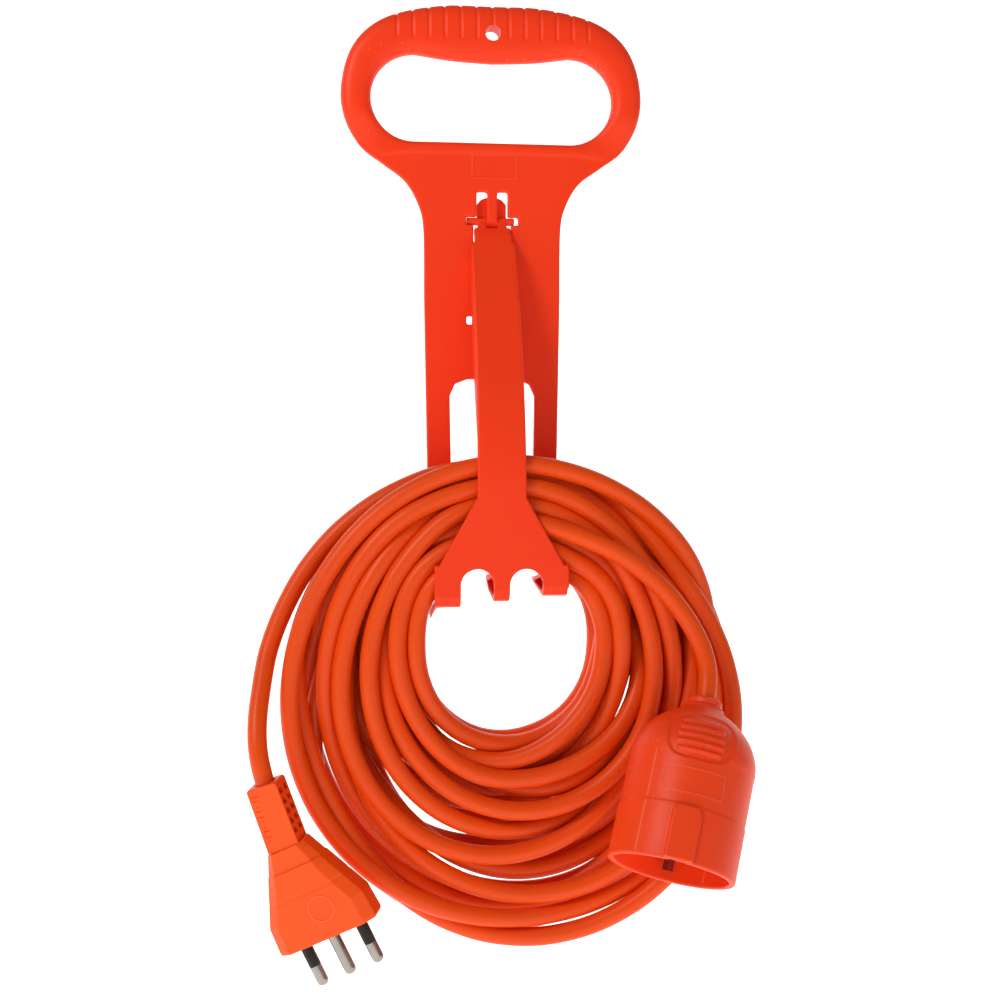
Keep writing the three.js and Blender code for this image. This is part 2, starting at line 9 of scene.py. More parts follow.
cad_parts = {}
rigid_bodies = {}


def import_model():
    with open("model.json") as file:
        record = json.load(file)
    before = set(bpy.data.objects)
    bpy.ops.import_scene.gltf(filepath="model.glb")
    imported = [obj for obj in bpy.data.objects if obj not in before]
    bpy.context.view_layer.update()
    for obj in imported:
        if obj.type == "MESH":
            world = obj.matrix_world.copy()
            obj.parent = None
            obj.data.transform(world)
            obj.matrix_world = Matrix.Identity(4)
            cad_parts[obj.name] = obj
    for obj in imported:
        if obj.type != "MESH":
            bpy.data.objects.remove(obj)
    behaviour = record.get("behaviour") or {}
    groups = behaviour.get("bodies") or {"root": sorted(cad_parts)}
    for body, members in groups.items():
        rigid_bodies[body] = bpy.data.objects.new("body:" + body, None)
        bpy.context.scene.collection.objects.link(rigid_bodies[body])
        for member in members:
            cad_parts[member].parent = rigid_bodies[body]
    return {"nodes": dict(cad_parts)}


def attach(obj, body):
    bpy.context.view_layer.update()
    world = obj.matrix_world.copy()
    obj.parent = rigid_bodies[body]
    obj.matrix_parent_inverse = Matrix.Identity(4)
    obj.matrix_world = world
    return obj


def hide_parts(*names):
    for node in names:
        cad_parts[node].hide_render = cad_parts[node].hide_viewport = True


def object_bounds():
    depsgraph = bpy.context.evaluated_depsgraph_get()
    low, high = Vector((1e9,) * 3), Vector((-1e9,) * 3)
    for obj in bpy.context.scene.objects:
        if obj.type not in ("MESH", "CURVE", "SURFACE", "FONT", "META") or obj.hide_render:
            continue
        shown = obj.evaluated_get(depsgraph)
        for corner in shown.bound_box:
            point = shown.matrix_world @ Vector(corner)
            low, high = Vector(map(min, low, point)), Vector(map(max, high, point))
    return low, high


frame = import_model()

CAD_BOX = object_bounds()
MM = 0.001
ROOT, CLAMP = "holder", "clamp"

# ------------------------------------------------------------------ driving dimensions, in mm
CORD_D = 8.0
PLATE = 3.5
LOOP_DEPTH = 11.0
HINGE = (1.3, -82.3)
TONGUE = 4.6
COIL = dict(x=6.5, z=-292.9, half_width=99.6, half_height=106.5, front=-37.0, back=-2.2)
HOLE = dict(x=4.3, z=-270.0, half_width=35.5, up=34.5, down=36.6, power=2.6, low=2.0)
FORK = 28.4
FORK_FRONT = -40.7
STRIP = 3.0
PLUG_AT = (-71.0, -46.0, -383.1)
PLUG_LEAN, PLUG_ROLL, SLEEVE_LEAN = 26.1, -17.0, 19.5
SOCKET_MOUTH = (63.4, -77.4, -354.6)
SOCKET_NECK = (84.2, -52.4, -288.4)
SOCKET_TURN = -12.0

# The routes of the two stretches of cord that aren't coiled, the same as in the CAD.
PLUG_TAIL = [
    (-82.9, -46, -358.9),
    (-88.9, -46, -346.6),
    (-93.8, -46.4, -333.3),
    (-98.2, -46.8, -321.1),
    (-101.1, -45, -308.5),
    (-101.4, -39.8, -295.3),
    (-99.8, -32.8, -282),
    (-97.8, -26.4, -270),
    (-95.8, -21.5, -259.5),
]
SOCKET_TAIL = [
    (38, -41.6, -222.8),
    (48.5, -41.9, -228.2),
    (60, -42.5, -236.2),
    (72, -43.8, -248),
    (81.5, -45.8, -262.5),
    (85.6, -48.6, -275.5),
    (84.3, -52.3, -288.2),
    (80.3, -57.1, -300.8),
    (76.4, -61.8, -313.3),
]

# ------------------------------------------------------------------ camera
CAMERA_AZIMUTH = math.radians(-6.5)
CAMERA_DISTANCE = 0.70
CAMERA_TARGET = Vector((3.6, 0, -206)) * MM
CAMERA_LENS = 56.7


def make_camera():
    data = bpy.data.cameras.new("camera")
    data.lens = CAMERA_LENS
    data.sensor_width = 36
    data.clip_start = 0.01
    camera = bpy.data.objects.new("camera", data)
    a = CAMERA_AZIMUTH
    camera.location = CAMERA_TARGET + CAMERA_DISTANCE * Vector((math.sin(a), -math.cos(a), 0))
    toward = CAMERA_TARGET - camera.location
    camera.rotation_euler = toward.to_track_quat("-Z", "Y").to_euler()
    bpy.context.scene.collection.objects.link(camera)
    bpy.context.scene.camera = camera


make_camera()

# ------------------------------------------------------------------ the cord's route
TURNS = 22
CORD_STEP = 4.5  # mm between the points that the cord is settled with
SEED = 7
TIGHTEST_BEND = 34.0
NEXT_ALONG = int(CORD_D * 2.2 / CORD_STEP)  # nearer points along the cord can't touch
QUICK_STEPS, FULL_STEPS = 80, 300
LAST_PASSES = 40
UNBEND_SPANS = (5, 3, 5, 3, 5)
# The columns, the layers and the disorder of the bundle at its top, left, bottom and right.
STATIONS = ((6, 4, 1.6), (8, 3, 1.8), (11, 2, 1.5), (8, 3, 1.8))


def spline(points, step):
    """Points about step apart along a Catmull-Rom curve."""
    p = np.asarray(points, float)
    p = np.vstack([2 * p[0] - p[1], p, 2 * p[-1] - p[-2]])
    out = []
    for i in range(1, len(p) - 2):
        count = max(2, int(np.linalg.norm(p[i + 1] - p[i]) / step * 4))
        t = np.linspace(0, 1, count, endpoint=False)[:, None]
        a, b, c, d = p[i - 1], p[i], p[i + 1], p[i + 2]
        curve = 2 * b + (c - a) * t + (2 * a - 5 * b + 4 * c - d) * t**2
        curve += (3 * b - a - 3 * c + d) * t**3
        out.append(0.5 * curve)
    return resample(np.vstack(out + [p[-2][None]]), step)


def arc_lengths(p):
    return np.concatenate([[0], np.cumsum(np.linalg.norm(np.diff(p, axis=0), axis=1))])


def resample(p, step):
    s = arc_lengths(p)
    count = max(3, int(round(s[-1] / step)) + 1)
    at = np.linspace(0, s[-1], count)
    return np.column_stack([np.interp(at, s, p[:, k]) for k in range(3)])


def hole_point(angle, margin):
    """X and Z on the edge of the bundle's opening, moved out by margin."""
    c, s = np.cos(angle), np.sin(angle)
    power = np.where(s > 0, HOLE["power"], HOLE["low"])
    high = np.where(s > 0, HOLE["up"], HOLE["down"]) + margin
    wide = HOLE["half_width"] + margin
    size = (np.abs(c) ** power + np.abs(s) ** power) ** (-1 / power)
    return HOLE["x"] + wide * c * size, HOLE["z"] + high * s * size


def rim_point(angle, margin):
    """X and Z on the bundle's rim, moved in by margin."""
    x = COIL["x"] + (COIL["half_width"] - margin) * np.cos(angle)
    return x, COIL["z"] + (COIL["half_height"] - margin) * np.sin(angle)


def coil_point(angle, share, depth):
    """A place in the bundle: share runs from the opening to the rim, depth from front to back."""
    ix, iz = hole_point(angle, CORD_D / 2 + 0.4)
    ox, oz = rim_point(angle, CORD_D / 2 + 0.3)
    front, back = COIL["front"] + CORD_D / 2 + 0.2, COIL["back"] - CORD_D / 2 - 0.2
    y = front + (back - front) * depth
    return np.column_stack([ix + (ox - ix) * share, y, iz + (oz - iz) * share])


def station_slots(ranks, columns, layers, noise, rng):
    """A place (share, depth) for each turn at one station, so that no two turns share one."""
    order = np.argsort(np.argsort(ranks + rng.normal(0, noise, len(ranks))))
    column = order // layers
    layer = np.empty(len(ranks))
    for c in range(columns):
        here = np.flatnonzero(column == c)
        places = np.arange(len(here)) if len(here) == layers else np.linspace(0, layers - 1, len(here))
        layer[here] = rng.permutation(places)
    share = (column + 0.12 * rng.normal(0, 1, len(ranks))) / max(columns - 1, 1)
    return np.clip(share, 0, 1), layer / max(layers - 1, 1)


def coil_start_guess():
    """The wound cord's centre line before it settles, from the top front turn to the plug's."""
    rng = np.random.default_rng(SEED)
    down = np.arange(10, -1, -2)
    up = np.setdiff1d(np.arange(TURNS), down)
    ranks = np.concatenate([down, up]).astype(float)
    stations = [station_slots(ranks, *station, rng) for station in STATIONS]
    angles, shares, depths = [], [], []
    for turn in range(TURNS):
        for k, slots in enumerate(stations):
            angles.append(math.pi * (0.5 + 2 * turn + 0.5 * k))
            shares.append(slots[0][turn])
            depths.append(slots[1][turn])
    # The last stretch runs from the top down the outer left side to the plug.
    angles.append(math.pi * (0.5 + 2 * TURNS))
    shares.append(0.9)
    depths.append(0.45)
    fine = np.linspace(angles[0], angles[-1], TURNS * 90)
    share = smooth_between(fine, angles, shares)
    depth = smooth_between(fine, angles, depths)
    return coil_point(fine, share, depth)


def smooth_between(at, knots, values):
    """Values between knots, with level slopes halfway between straight and flat."""
    knots, values = np.asarray(knots), np.asarray(values)
    i = np.clip(np.searchsorted(knots, at, side="right") - 1, 0, len(knots) - 2)
    t = (at - knots[i]) / (knots[i + 1] - knots[i])
    ease = t * t * (3 - 2 * t)
    return values[i] + (values[i + 1] - values[i]) * (0.6 * ease + 0.4 * t)


def contact_pairs(p, reach, skip):
    """Pairs of points nearer than reach that aren't neighbours along the cord."""
    found = []
    for start in range(0, len(p), 400):
        block = p[start : start + 400]
        d2 = ((block[:, None, :] - p[None, :, :]) ** 2).sum(-1)
        i, j = np.nonzero(d2 < reach * reach)
        i = i + start
        keep = j - i > skip
        found.append(np.column_stack([i[keep], j[keep]]))
    return np.vstack(found)


def push_apart(p, pairs, gap, held):
    """Move the points of each pair that is nearer than gap away from each other."""
    i, j = pairs[:, 0], pairs[:, 1]
    d = p[j] - p[i]
    length = np.linalg.norm(d, axis=1) + 1e-9
    short = np.maximum(gap - length, 0)
    move = d / length[:, None] * (0.45 * short)[:, None]
    total = np.zeros_like(p)
    count = np.ones(len(p))
    np.add.at(total, i, -move)
    np.add.at(total, j, move)
    touching = short > 0
    np.add.at(count, i[touching], 0.35)
    np.add.at(count, j[touching], 0.35)
    p += total / count[:, None] * (1 - held)[:, None]


def keep_in_bundle(p, free, front, rim):
    """Keep points between the plate and the arm, inside the rim and out of the opening."""
    r = CORD_D / 2
    q = p[free]
    q[:, 1] = np.clip(q[:, 1], front[free], COIL["back"] - r)
    dx, dz = q[:, 0] - COIL["x"], q[:, 2] - COIL["z"]
    size = np.hypot(dx / (COIL["half_width"] - r), dz / (COIL["half_height"] - r))
    size /= rim[free]
    over = size > 1
    q[over, 0] = COIL["x"] + dx[over] / size[over]
    q[over, 2] = COIL["z"] + dz[over] / size[over]
    dx, dz = q[:, 0] - HOLE["x"], q[:, 2] - HOLE["z"]
    power = np.where(dz > 0, HOLE["power"], HOLE["low"])
    high = np.where(dz > 0, HOLE["up"], HOLE["down"]) + r + 0.2
    wide = HOLE["half_width"] + r + 0.2
    size = (np.abs(dx / wide) ** power + np.abs(dz / high) ** power) ** (1 / power) + 1e-9
    under = size < 1
    q[under, 0] = HOLE["x"] + dx[under] / size[under]
    q[under, 2] = HOLE["z"] + dz[under] / size[under]
    p[free] = q


def clear_fork(p, free):
    """Round the bundle's lower front edge off, so that the fork can swing out from under it."""
    q = p[free]
    share = np.clip(np.abs((q[:, 0] - HOLE["x"]) / HOLE["half_width"]), 0, 0.97)
    drop = HOLE["up"] * (1 - (1 - share ** HOLE["power"]) ** (1 / HOLE["power"]))
    near = (np.abs(q[:, 0]) < FORK + 6) & (q[:, 2] > -275)
    limit = 155.3 + drop - CORD_D / 2
    dy, dz = q[:, 1] - HINGE[0], q[:, 2] - HINGE[1]
    reach = np.hypot(dy, dz)
    over = near & (reach > limit)
    q[over, 1] = HINGE[0] + dy[over] * (limit / reach)[over]
    q[over, 2] = HINGE[1] + dz[over] * (limit / reach)[over]
    p[free] = q


def unbend(p, held, span=5):
    """Open up any bend tighter than the cord can take."""
    middle = (p[: -2 * span] + p[2 * span :]) / 2
    off = p[span:-span] - middle
    bow = np.linalg.norm(off, axis=1) + 1e-9
    most = (span * CORD_STEP) ** 2 / (2 * TIGHTEST_BEND)
    move = off * (np.maximum(bow - most, 0) / bow * 0.3)[:, None]
    free = (1 - held)[:, None]
    p[span:-span] -= move * free[span:-span]
    p[: -2 * span] += 0.5 * move * free[: -2 * span]
    p[2 * span :] += 0.5 * move * free[2 * span :]


def straighten(p, span):
    """How far each point would move to even out the curve over that many points each way."""
    move = np.zeros_like(p)
    near = p[span : -3 * span] + p[3 * span : -span]
    far = p[: -4 * span] + p[4 * span :]
    move[2 * span : -2 * span] = (4 * near - far) / 6 - p[2 * span : -2 * span]
    return move


def keep_step(p, held):
    """Keep neighbouring points one step apart."""
    for first in (0, 1):
        a, b = p[first:-1:2], p[first + 1 :: 2]
        d = b - a
        length = np.linalg.norm(d, axis=1)[:, None] + 1e-9
        fix = d * (0.4 * (length - CORD_STEP) / length)
        a += fix * (1 - held[first:-1:2])[:, None]
        b -= fix * (1 - held[first + 1 :: 2])[:, None]


def relax(p, held, front, rim, steps):
    """Let the cord's turns find room beside each other, while they smooth out."""
    gap = CORD_D + 0.15
    free = held < 0.5
    for step in range(steps):
        if step % 8 == 0:
            pairs = contact_pairs(p, CORD_D + 5, NEXT_ALONG)
        for _ in range(2):
            push_apart(p, pairs, gap, held)
        unbend(p, held)
        strength = 0.5 if step < steps * 0.7 else 0.3
        for span in (1, 4):
            p += straighten(p, span) * (strength * (1 - held))[:, None]
        keep_step(p, held)
        keep_in_bundle(p, free, front, rim)
        clear_fork(p, free)
    return p


def cord_route():
    """The whole cord, from inside the socket's neck to inside the plug's body, in mm. With it
    go the points that stay where they are, and how far the others may leave the bundle."""
    socket_end = spline(SOCKET_TAIL[::-1], CORD_STEP)
    plug_end = spline(PLUG_TAIL[::-1], CORD_STEP)
    turns = coil_start_guess()
    lead_in = spline([SOCKET_TAIL[0], (24, -37.5, -216.5), (9, -33, -212), tuple(turns[14])], CORD_STEP)
    down_left = coil_point(
        np.linspace(0.5, 0.8, 7) * math.pi, np.linspace(0.9, 1, 7), np.linspace(0.45, 0.5, 7)
    )
    lead_out = spline([*down_left, PLUG_TAIL[-1]], CORD_STEP)
    whole = np.vstack([socket_end[:-1], lead_in, turns[18:-4], lead_out[1:], plug_end[1:]])
    whole = resample(whole, CORD_STEP)
    held = np.zeros(len(whole))
    first, last = len(socket_end) - 3, len(plug_end) - 3
    held[:first] = 1
    held[-last:] = 1
    front = np.full(len(whole), COIL["front"] + CORD_D / 2)
    ramp = 9
    front[first : first + ramp] = np.linspace(SOCKET_TAIL[0][1], COIL["front"] + CORD_D / 2, ramp)
    rim = np.ones(len(whole))
    rim[-last - 3 * ramp : -last] = np.linspace(1, 1.13, 3 * ramp)
    return whole, held, front, rim


def settled_route():
    """The cord's route once its turns lie clear of each other. The last passes open bends up."""
    whole, held, front, rim = cord_route()
    steps = FULL_STEPS
    settled = relax(whole, held, front, rim, steps)
    pairs = contact_pairs(settled, CORD_D + 3, NEXT_ALONG)
    free = held < 0.5
    for _ in range(LAST_PASSES):
        push_apart(settled, pairs, CORD_D * 0.97, held)
        keep_in_bundle(settled, free, front, rim)
        clear_fork(settled, free)
        for span in UNBEND_SPANS:
            unbend(settled, held, span)
        settled += straighten(settled, 1) * (0.5 * (1 - held))[:, None]
        keep_step(settled, held)
    print("cord length in m:", round(arc_lengths(settled)[-1] * MM, 3))
    return settled


# ------------------------------------------------------------------ the cord mesh
ROUTE = settled_route()
CORD_SIDES = 18
RING_STEP = 2.6  # mm between the rings of the cord's surface


def smooth_shade(obj, angle=40):
    mesh = obj.data
    mesh.polygons.foreach_set("use_smooth", [True] * len(mesh.polygons))
    mesh.set_sharp_from_angle(angle=math.radians(angle))


def add_object(name, mesh, body=ROOT):
    obj = bpy.data.objects.new(name, mesh)
    bpy.context.scene.collection.objects.link(obj)
    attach(obj, body)
    return obj


def mesh_from(name, verts, faces):
    mesh = bpy.data.meshes.new(name)
    mesh.from_pydata([tuple(v) for v in verts], [], faces)
    mesh.update()
    return mesh


def tube_mesh(name, points, radius, sides, flutes=0.0, pitch=60.0):
    """A closed round tube along points in mm. flutes is how far the twisted cores show."""
    p = np.asarray(points, float)
    tangent = np.gradient(p, axis=0)
    tangent /= np.linalg.norm(tangent, axis=1)[:, None]
    normal = np.cross(tangent[0], (0.3, 1.0, 0.2))
    normal /= np.linalg.norm(normal)
    s = arc_lengths(p)
    verts = []
    angle = 2 * np.pi * np.arange(sides) / sides
    for i in range(len(p)):
        normal = normal - tangent[i] * normal.dot(tangent[i])
        normal /= np.linalg.norm(normal)
        other = np.cross(tangent[i], normal)
        r = radius * (1 + flutes * np.cos(3 * (angle - 2 * np.pi * s[i] / pitch)))
        ring = p[i] + np.outer(np.cos(angle) * r, normal) + np.outer(np.sin(angle) * r, other)
        verts.append(ring)
    verts = np.vstack(verts) * MM
    faces = []
    for i in range(len(p) - 1):
        a, b = i * sides, (i + 1) * sides
        for k in range(sides):
            n = (k + 1) % sides
            faces.append((a + k, a + n, b + n, b + k))
    faces.append(tuple(range(sides - 1, -1, -1)))
    last = (len(p) - 1) * sides
    faces.append(tuple(range(last, last + sides)))
    return mesh_from(name, verts, faces)


# ------------------------------------------------------------------ materials
def srgb(code):
    value = [int(code[i : i + 2], 16) / 255 for i in (0, 2, 4)]
    return tuple(v / 12.92 if v <= 0.04045 else ((v + 0.055) / 1.055) ** 2.4 for v in value)


SPECULAR = 0.25


def plastic(name, colour, deep, roughness, grain, grain_size, edge_highlight=0.12):
    """A moulded plastic: patchy colour, a fine moulded grain, and paler edges that are a painted
    highlight.
    """
    mat = bpy.data.materials.new(name)
    mat.use_nodes = True
    nodes, links = mat.node_tree.nodes, mat.node_tree.links
    shader = nodes["Principled BSDF"]
    shader.inputs["IOR"].default_value = 1.48
    shader.inputs["Specular IOR Level"].default_value = SPECULAR
    place = nodes.new("ShaderNodeTexCoord")

    patches = nodes.new("ShaderNodeTexNoise")
    patches.inputs["Scale"].default_value = 28
    patches.inputs["Detail"].default_value = 4
    mix = nodes.new("ShaderNodeMix")
    mix.data_type = "RGBA"
    mix.inputs["A"].default_value = (*srgb(colour), 1)
    mix.inputs["B"].default_value = (*srgb(deep), 1)
    spread = nodes.new("ShaderNodeMapRange")
    spread.inputs["From Min"].default_value = 0.35
    spread.inputs["From Max"].default_value = 0.75
    spread.inputs["To Max"].default_value = 0.45
    links.new(place.outputs["Object"], patches.inputs["Vector"])
    links.new(patches.outputs["Fac"], spread.inputs["Value"])
    links.new(spread.outputs["Result"], mix.inputs["Factor"])

    # Convex edges, found by pointiness, are tinted pale: a painted edge highlight, the same from every
    # side.
    edge = nodes.new("ShaderNodeNewGeometry")
    highlight_ramp = nodes.new("ShaderNodeMapRange")
    highlight_ramp.inputs["From Min"].default_value = 0.54
    highlight_ramp.inputs["From Max"].default_value = 0.66
    highlight_ramp.inputs["To Max"].default_value = edge_highlight
    pale = nodes.new("ShaderNodeMix")
    pale.data_type = "RGBA"
    pale.inputs["B"].default_value = (1.0, 0.62, 0.42, 1)
    links.new(edge.outputs["Pointiness"], highlight_ramp.inputs["Value"])
    links.new(highlight_ramp.outputs["Result"], pale.inputs["Factor"])
    links.new(mix.outputs["Result"], pale.inputs["A"])
    links.new(pale.outputs["Result"], shader.inputs["Base Color"])

    fine = nodes.new("ShaderNodeTexNoise")
    fine.inputs["Scale"].default_value = grain_size
    fine.inputs["Detail"].default_value = 3
    bump = nodes.new("ShaderNodeBump")
    bump.inputs["Strength"].default_value = grain
    bump.inputs["Distance"].default_value = 0.0002
    links.new(place.outputs["Object"], fine.inputs["Vector"])
    links.new(fine.outputs["Fac"], bump.inputs["Height"])
    links.new(bump.outputs["Normal"], shader.inputs["Normal"])

    gloss = nodes.new("ShaderNodeMapRange")
    gloss.inputs["To Min"].default_value = roughness - 0.05
    gloss.inputs["To Max"].default_value = roughness + 0.08
    links.new(patches.outputs["Fac"], gloss.inputs["Value"])
    links.new(gloss.outputs["Result"], shader.inputs["Roughness"])
    return mat


def metal(name, colour, roughness, scratch=0.15):
    """A drawn metal with fine marks along one direction."""
    mat = bpy.data.materials.new(name)
    mat.use_nodes = True
    nodes, links = mat.node_tree.nodes, mat.node_tree.links
    shader = nodes["Principled BSDF"]
    shader.inputs["Metallic"].default_value = 1
    place = nodes.new("ShaderNodeTexCoord")
    stretch = nodes.new("ShaderNodeMapping")
    stretch.inputs["Scale"].default_value = (900, 900, 160)
    noise = nodes.new("ShaderNodeTexNoise")
    noise.inputs["Scale"].default_value = 1
    tint = nodes.new("ShaderNodeMix")
    tint.data_type = "RGBA"
    base = srgb(colour)
    tint.inputs["A"].default_value = (*base, 1)
    tint.inputs["B"].default_value = (*[c * 0.8 for c in base], 1)
    rough = nodes.new("ShaderNodeMapRange")
    rough.inputs["To Min"].default_value = roughness
    rough.inputs["To Max"].default_value = roughness + 0.18
    bump = nodes.new("ShaderNodeBump")
    bump.inputs["Strength"].default_value = scratch
    bump.inputs["Distance"].default_value = 0.0001
    links.new(place.outputs["Object"], stretch.inputs["Vector"])
    links.new(stretch.outputs["Vector"], noise.inputs["Vector"])
    links.new(noise.outputs["Fac"], tint.inputs["Factor"])
    links.new(tint.outputs["Result"], shader.inputs["Base Color"])
    links.new(noise.outputs["Fac"], rough.inputs["Value"])
    links.new(rough.outputs["Result"], shader.inputs["Roughness"])
    links.new(noise.outputs["Fac"], bump.inputs["Height"])
    links.new(bump.outputs["Normal"], shader.inputs["Normal"])
    return mat


# The last number of a plastic is the strength of its painted edge highlight.
MATERIALS = {
    "holder": plastic("holder", "f83c12", "ee3410", 0.42, 0.22, 2600),
    "jacket": plastic("jacket", "ea4c0a", "dc4406", 0.36, 0.16, 1500, edge_highlight=0.0),
    "plug_pvc": plastic("plug_pvc", "fb5612", "f04c0c", 0.42, 0.2, 2200),
    "socket_pvc": plastic("socket_pvc", "f54718", "ea3c10", 0.4, 0.18, 2200),
    "carrier": plastic("carrier", "e8e4da", "d8d2c4", 0.5, 0.2, 2400),
    "black": plastic("black", "0c100f", "070808", 0.42, 0.2, 2600, edge_highlight=0.05),
    "core_brown": plastic("core_brown", "5a3418", "4a2a12", 0.45, 0.1, 1500, edge_highlight=0),
    "core_green": plastic("core_green", "3d8a2e", "c8c22a", 0.45, 0.1, 1500, edge_highlight=0),
    "core_blue": plastic("core_blue", "1f4fa8", "1a4390", 0.45, 0.1, 1500, edge_highlight=0),
    "nickel": metal("nickel", "a8a199", 0.14),
    "brass": metal("brass", "c09a45", 0.25),
    "steel": metal("steel", "b4b6b8", 0.28),
}


def dress(obj, slot):
    obj.data.materials.clear()
    obj.data.materials.append(MATERIALS[slot])


# ------------------------------------------------------------------ pieces: the cord
def make_cord():
    path = resample(ROUTE, RING_STEP)
    obj = add_object("cord", tube_mesh("cord", path, CORD_D / 2, CORD_SIDES, 0.006, 70))
    smooth_shade(obj, 60)
    dress(obj, "jacket")
    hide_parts("cord_coil", "cord_plug_tail", "cord_socket_tail")
    return obj, path


CORD, CORD_PATH = make_cord()

# ------------------------------------------------------------------ shapes
def matrix_of(columns, at=(0, 0, 0)):
    """A placing matrix from three axes and an origin in mm."""
    m = Matrix([[columns[c][r] for c in range(3)] for r in range(3)]).to_4x4()
    m.translation = Vector(at) * MM
    return m


def plug_matrix():
    """From the plug's own frame to the CAD's."""
    lean = Matrix.Rotation(math.radians(-PLUG_LEAN), 4, "Y")
    roll = Matrix.Rotation(math.radians(PLUG_ROLL), 4, "Z")
    return Matrix.Translation(Vector(PLUG_AT) * MM) @ lean @ roll


def sleeve_matrix():
    up = Matrix.Translation(Vector((0, 0, 41.8)) * MM)
    return PLUG_FRAME @ up @ Matrix.Rotation(math.radians(PLUG_LEAN - SLEEVE_LEAN), 4, "Y")


def socket_matrix():
    axis = (Vector(SOCKET_NECK) - Vector(SOCKET_MOUTH)).normalized()
    back = (Vector((0, 1, 0)) - axis * axis.y).normalized()
    upright = matrix_of((back.cross(axis), back, axis), SOCKET_MOUTH)
    return upright @ Matrix.Rotation(math.radians(SOCKET_TURN), 4, "Z")


PLUG_FRAME = plug_matrix()
SLEEVE_FRAME = sleeve_matrix()
SOCKET_FRAME = socket_matrix()


def mirrored(half):
    """The right half of a symmetrical outline and its mirror image, as one closed outline."""
    return list(half) + [(-x, z) for x, z in reversed(half) if abs(x) > 1e-6]


def flat_spline(points, step=1.5):
    out = spline([(x, 0, z) for x, z in points], step)
    return [(x, z) for x, _, z in out]


def evaluated_mesh(obj):
    """The mesh that an object comes to, with its modifiers. The object goes away."""
    bpy.context.scene.collection.objects.link(obj)
    bpy.context.view_layer.update()
    evaluated = obj.evaluated_get(bpy.context.evaluated_depsgraph_get())
    mesh = bpy.data.meshes.new_from_object(evaluated)
    bpy.data.objects.remove(obj)
    return mesh


def slab(outlines, y0, y1, bevel=0.0, steps=3):
    """A mesh for outlines drawn in X and Z, mm, made solid from y0 to y1 with rounded edges.
    The outlines after the first are openings."""
    data = bpy.data.curves.new("outline", "CURVE")
    data.dimensions = "2D"
    data.fill_mode = "BOTH"
    data.extrude = ((y1 - y0) / 2 - bevel) * MM
    data.bevel_depth = bevel * MM
    data.bevel_resolution = steps
    data.offset = -bevel * MM
    for outline in outlines:
        line = data.splines.new("POLY")
        line.points.add(len(outline) - 1)
        line.use_cyclic_u = True
        for point, (x, z) in zip(line.points, outline):
            point.co = (x * MM, z * MM, 0, 1)
    mesh = evaluated_mesh(bpy.data.objects.new("outline", data))
    bpy.data.curves.remove(data)
    upright = Matrix.Rotation(math.pi / 2, 4, "X")
    mesh.transform(Matrix.Translation((0, (y0 + y1) / 2 * MM, 0)) @ upright)
    return tidy(mesh)


def tidy(mesh):
    """Merge doubled points and turn every face outwards."""
    edit = bmesh.new()
    edit.from_mesh(mesh)
    bmesh.ops.remove_doubles(edit, verts=edit.verts, dist=1e-6)
    bmesh.ops.recalc_face_normals(edit, faces=edit.faces)
    edit.to_mesh(mesh)
    edit.free()
    return mesh


def block(x0, x1, y0, y1, z0, z1):
    verts = [(x * MM, y * MM, z * MM) for x in (x0, x1) for y in (y0, y1) for z in (z0, z1)]
    faces = [(0, 1, 3, 2), (4, 6, 7, 5), (0, 4, 5, 1), (2, 3, 7, 6), (0, 2, 6, 4), (1, 5, 7, 3)]
    return tidy(mesh_from("block", verts, faces))


def rod(radius, start, end, sides=40):
    return tube_mesh("rod", [start, end], radius, sides)


def turned(profile, sides=96):
    """A closed body from a profile of (radius, z) that closes on itself or on the axis."""
    verts, faces = [], []
    for k in range(sides):
        a = 2 * math.pi * k / sides
        for r, z in profile:
            verts.append((r * math.cos(a) * MM, r * math.sin(a) * MM, z * MM))
    n = len(profile)
    for k in range(sides):
        a, b = k * n, ((k + 1) % sides) * n
        for i in range(n):
            j = (i + 1) % n
            if profile[i][0] < 1e-6 and profile[j][0] < 1e-6:
                continue
            faces.append((a + i, b + i, b + j, a + j))
    return tidy(mesh_from("turned", verts, faces))


def loft(sections):
    """A closed body through rings of points that all have the same number of points."""
    n = len(sections[0])
    verts = [[c * MM for c in p] for ring in sections for p in ring]
    faces = []
    for s in range(len(sections) - 1):
        a, b = s * n, (s + 1) * n
        for k in range(n):
            j = (k + 1) % n
            faces.append((a + k, a + j, b + j, b + k))
    faces.append(tuple(range(n - 1, -1, -1)))
    faces.append(tuple(range((len(sections) - 1) * n, len(sections) * n)))
    return tidy(mesh_from("loft", verts, faces))


def joined(*meshes):
    """One mesh of several closed ones, still overlapping."""
    edit = bmesh.new()
    for mesh in meshes:
        edit.from_mesh(mesh)
    out = bpy.data.meshes.new("joined")
    edit.to_mesh(out)
    edit.free()
    return out


def modified(mesh, *changes):
    """The mesh after modifiers, each a (kind, settings) pair."""
    work = bpy.data.objects.new("work", mesh)
    for kind, settings in changes:
        modifier = work.modifiers.new(kind, kind)
        for key, value in settings.items():
            setattr(modifier, key, value)
    return evaluated_mesh(work)


def boolean(mesh, operation, *others):
    for other in others:
        tool = bpy.data.objects.new("tool", other)
        bpy.context.scene.collection.objects.link(tool)
        settings = {"operation": operation, "solver": "EXACT", "object": tool}
        mesh = modified(mesh, ("BOOLEAN", settings))
        bpy.data.objects.remove(tool)
    return mesh


def cut(mesh, *others):
    return boolean(mesh, "DIFFERENCE", *others)


def moulded(mesh, voxel, rounds=4, strength=0.5):
    """One skin over everything in the mesh, with its edges softened as a mould softens them."""
    remesh = {"mode": "VOXEL", "voxel_size": voxel * MM, "use_smooth_shade": True}
    smooth = {"factor": strength, "iterations": rounds}
    return modified(mesh, ("REMESH", remesh), ("SMOOTH", smooth))


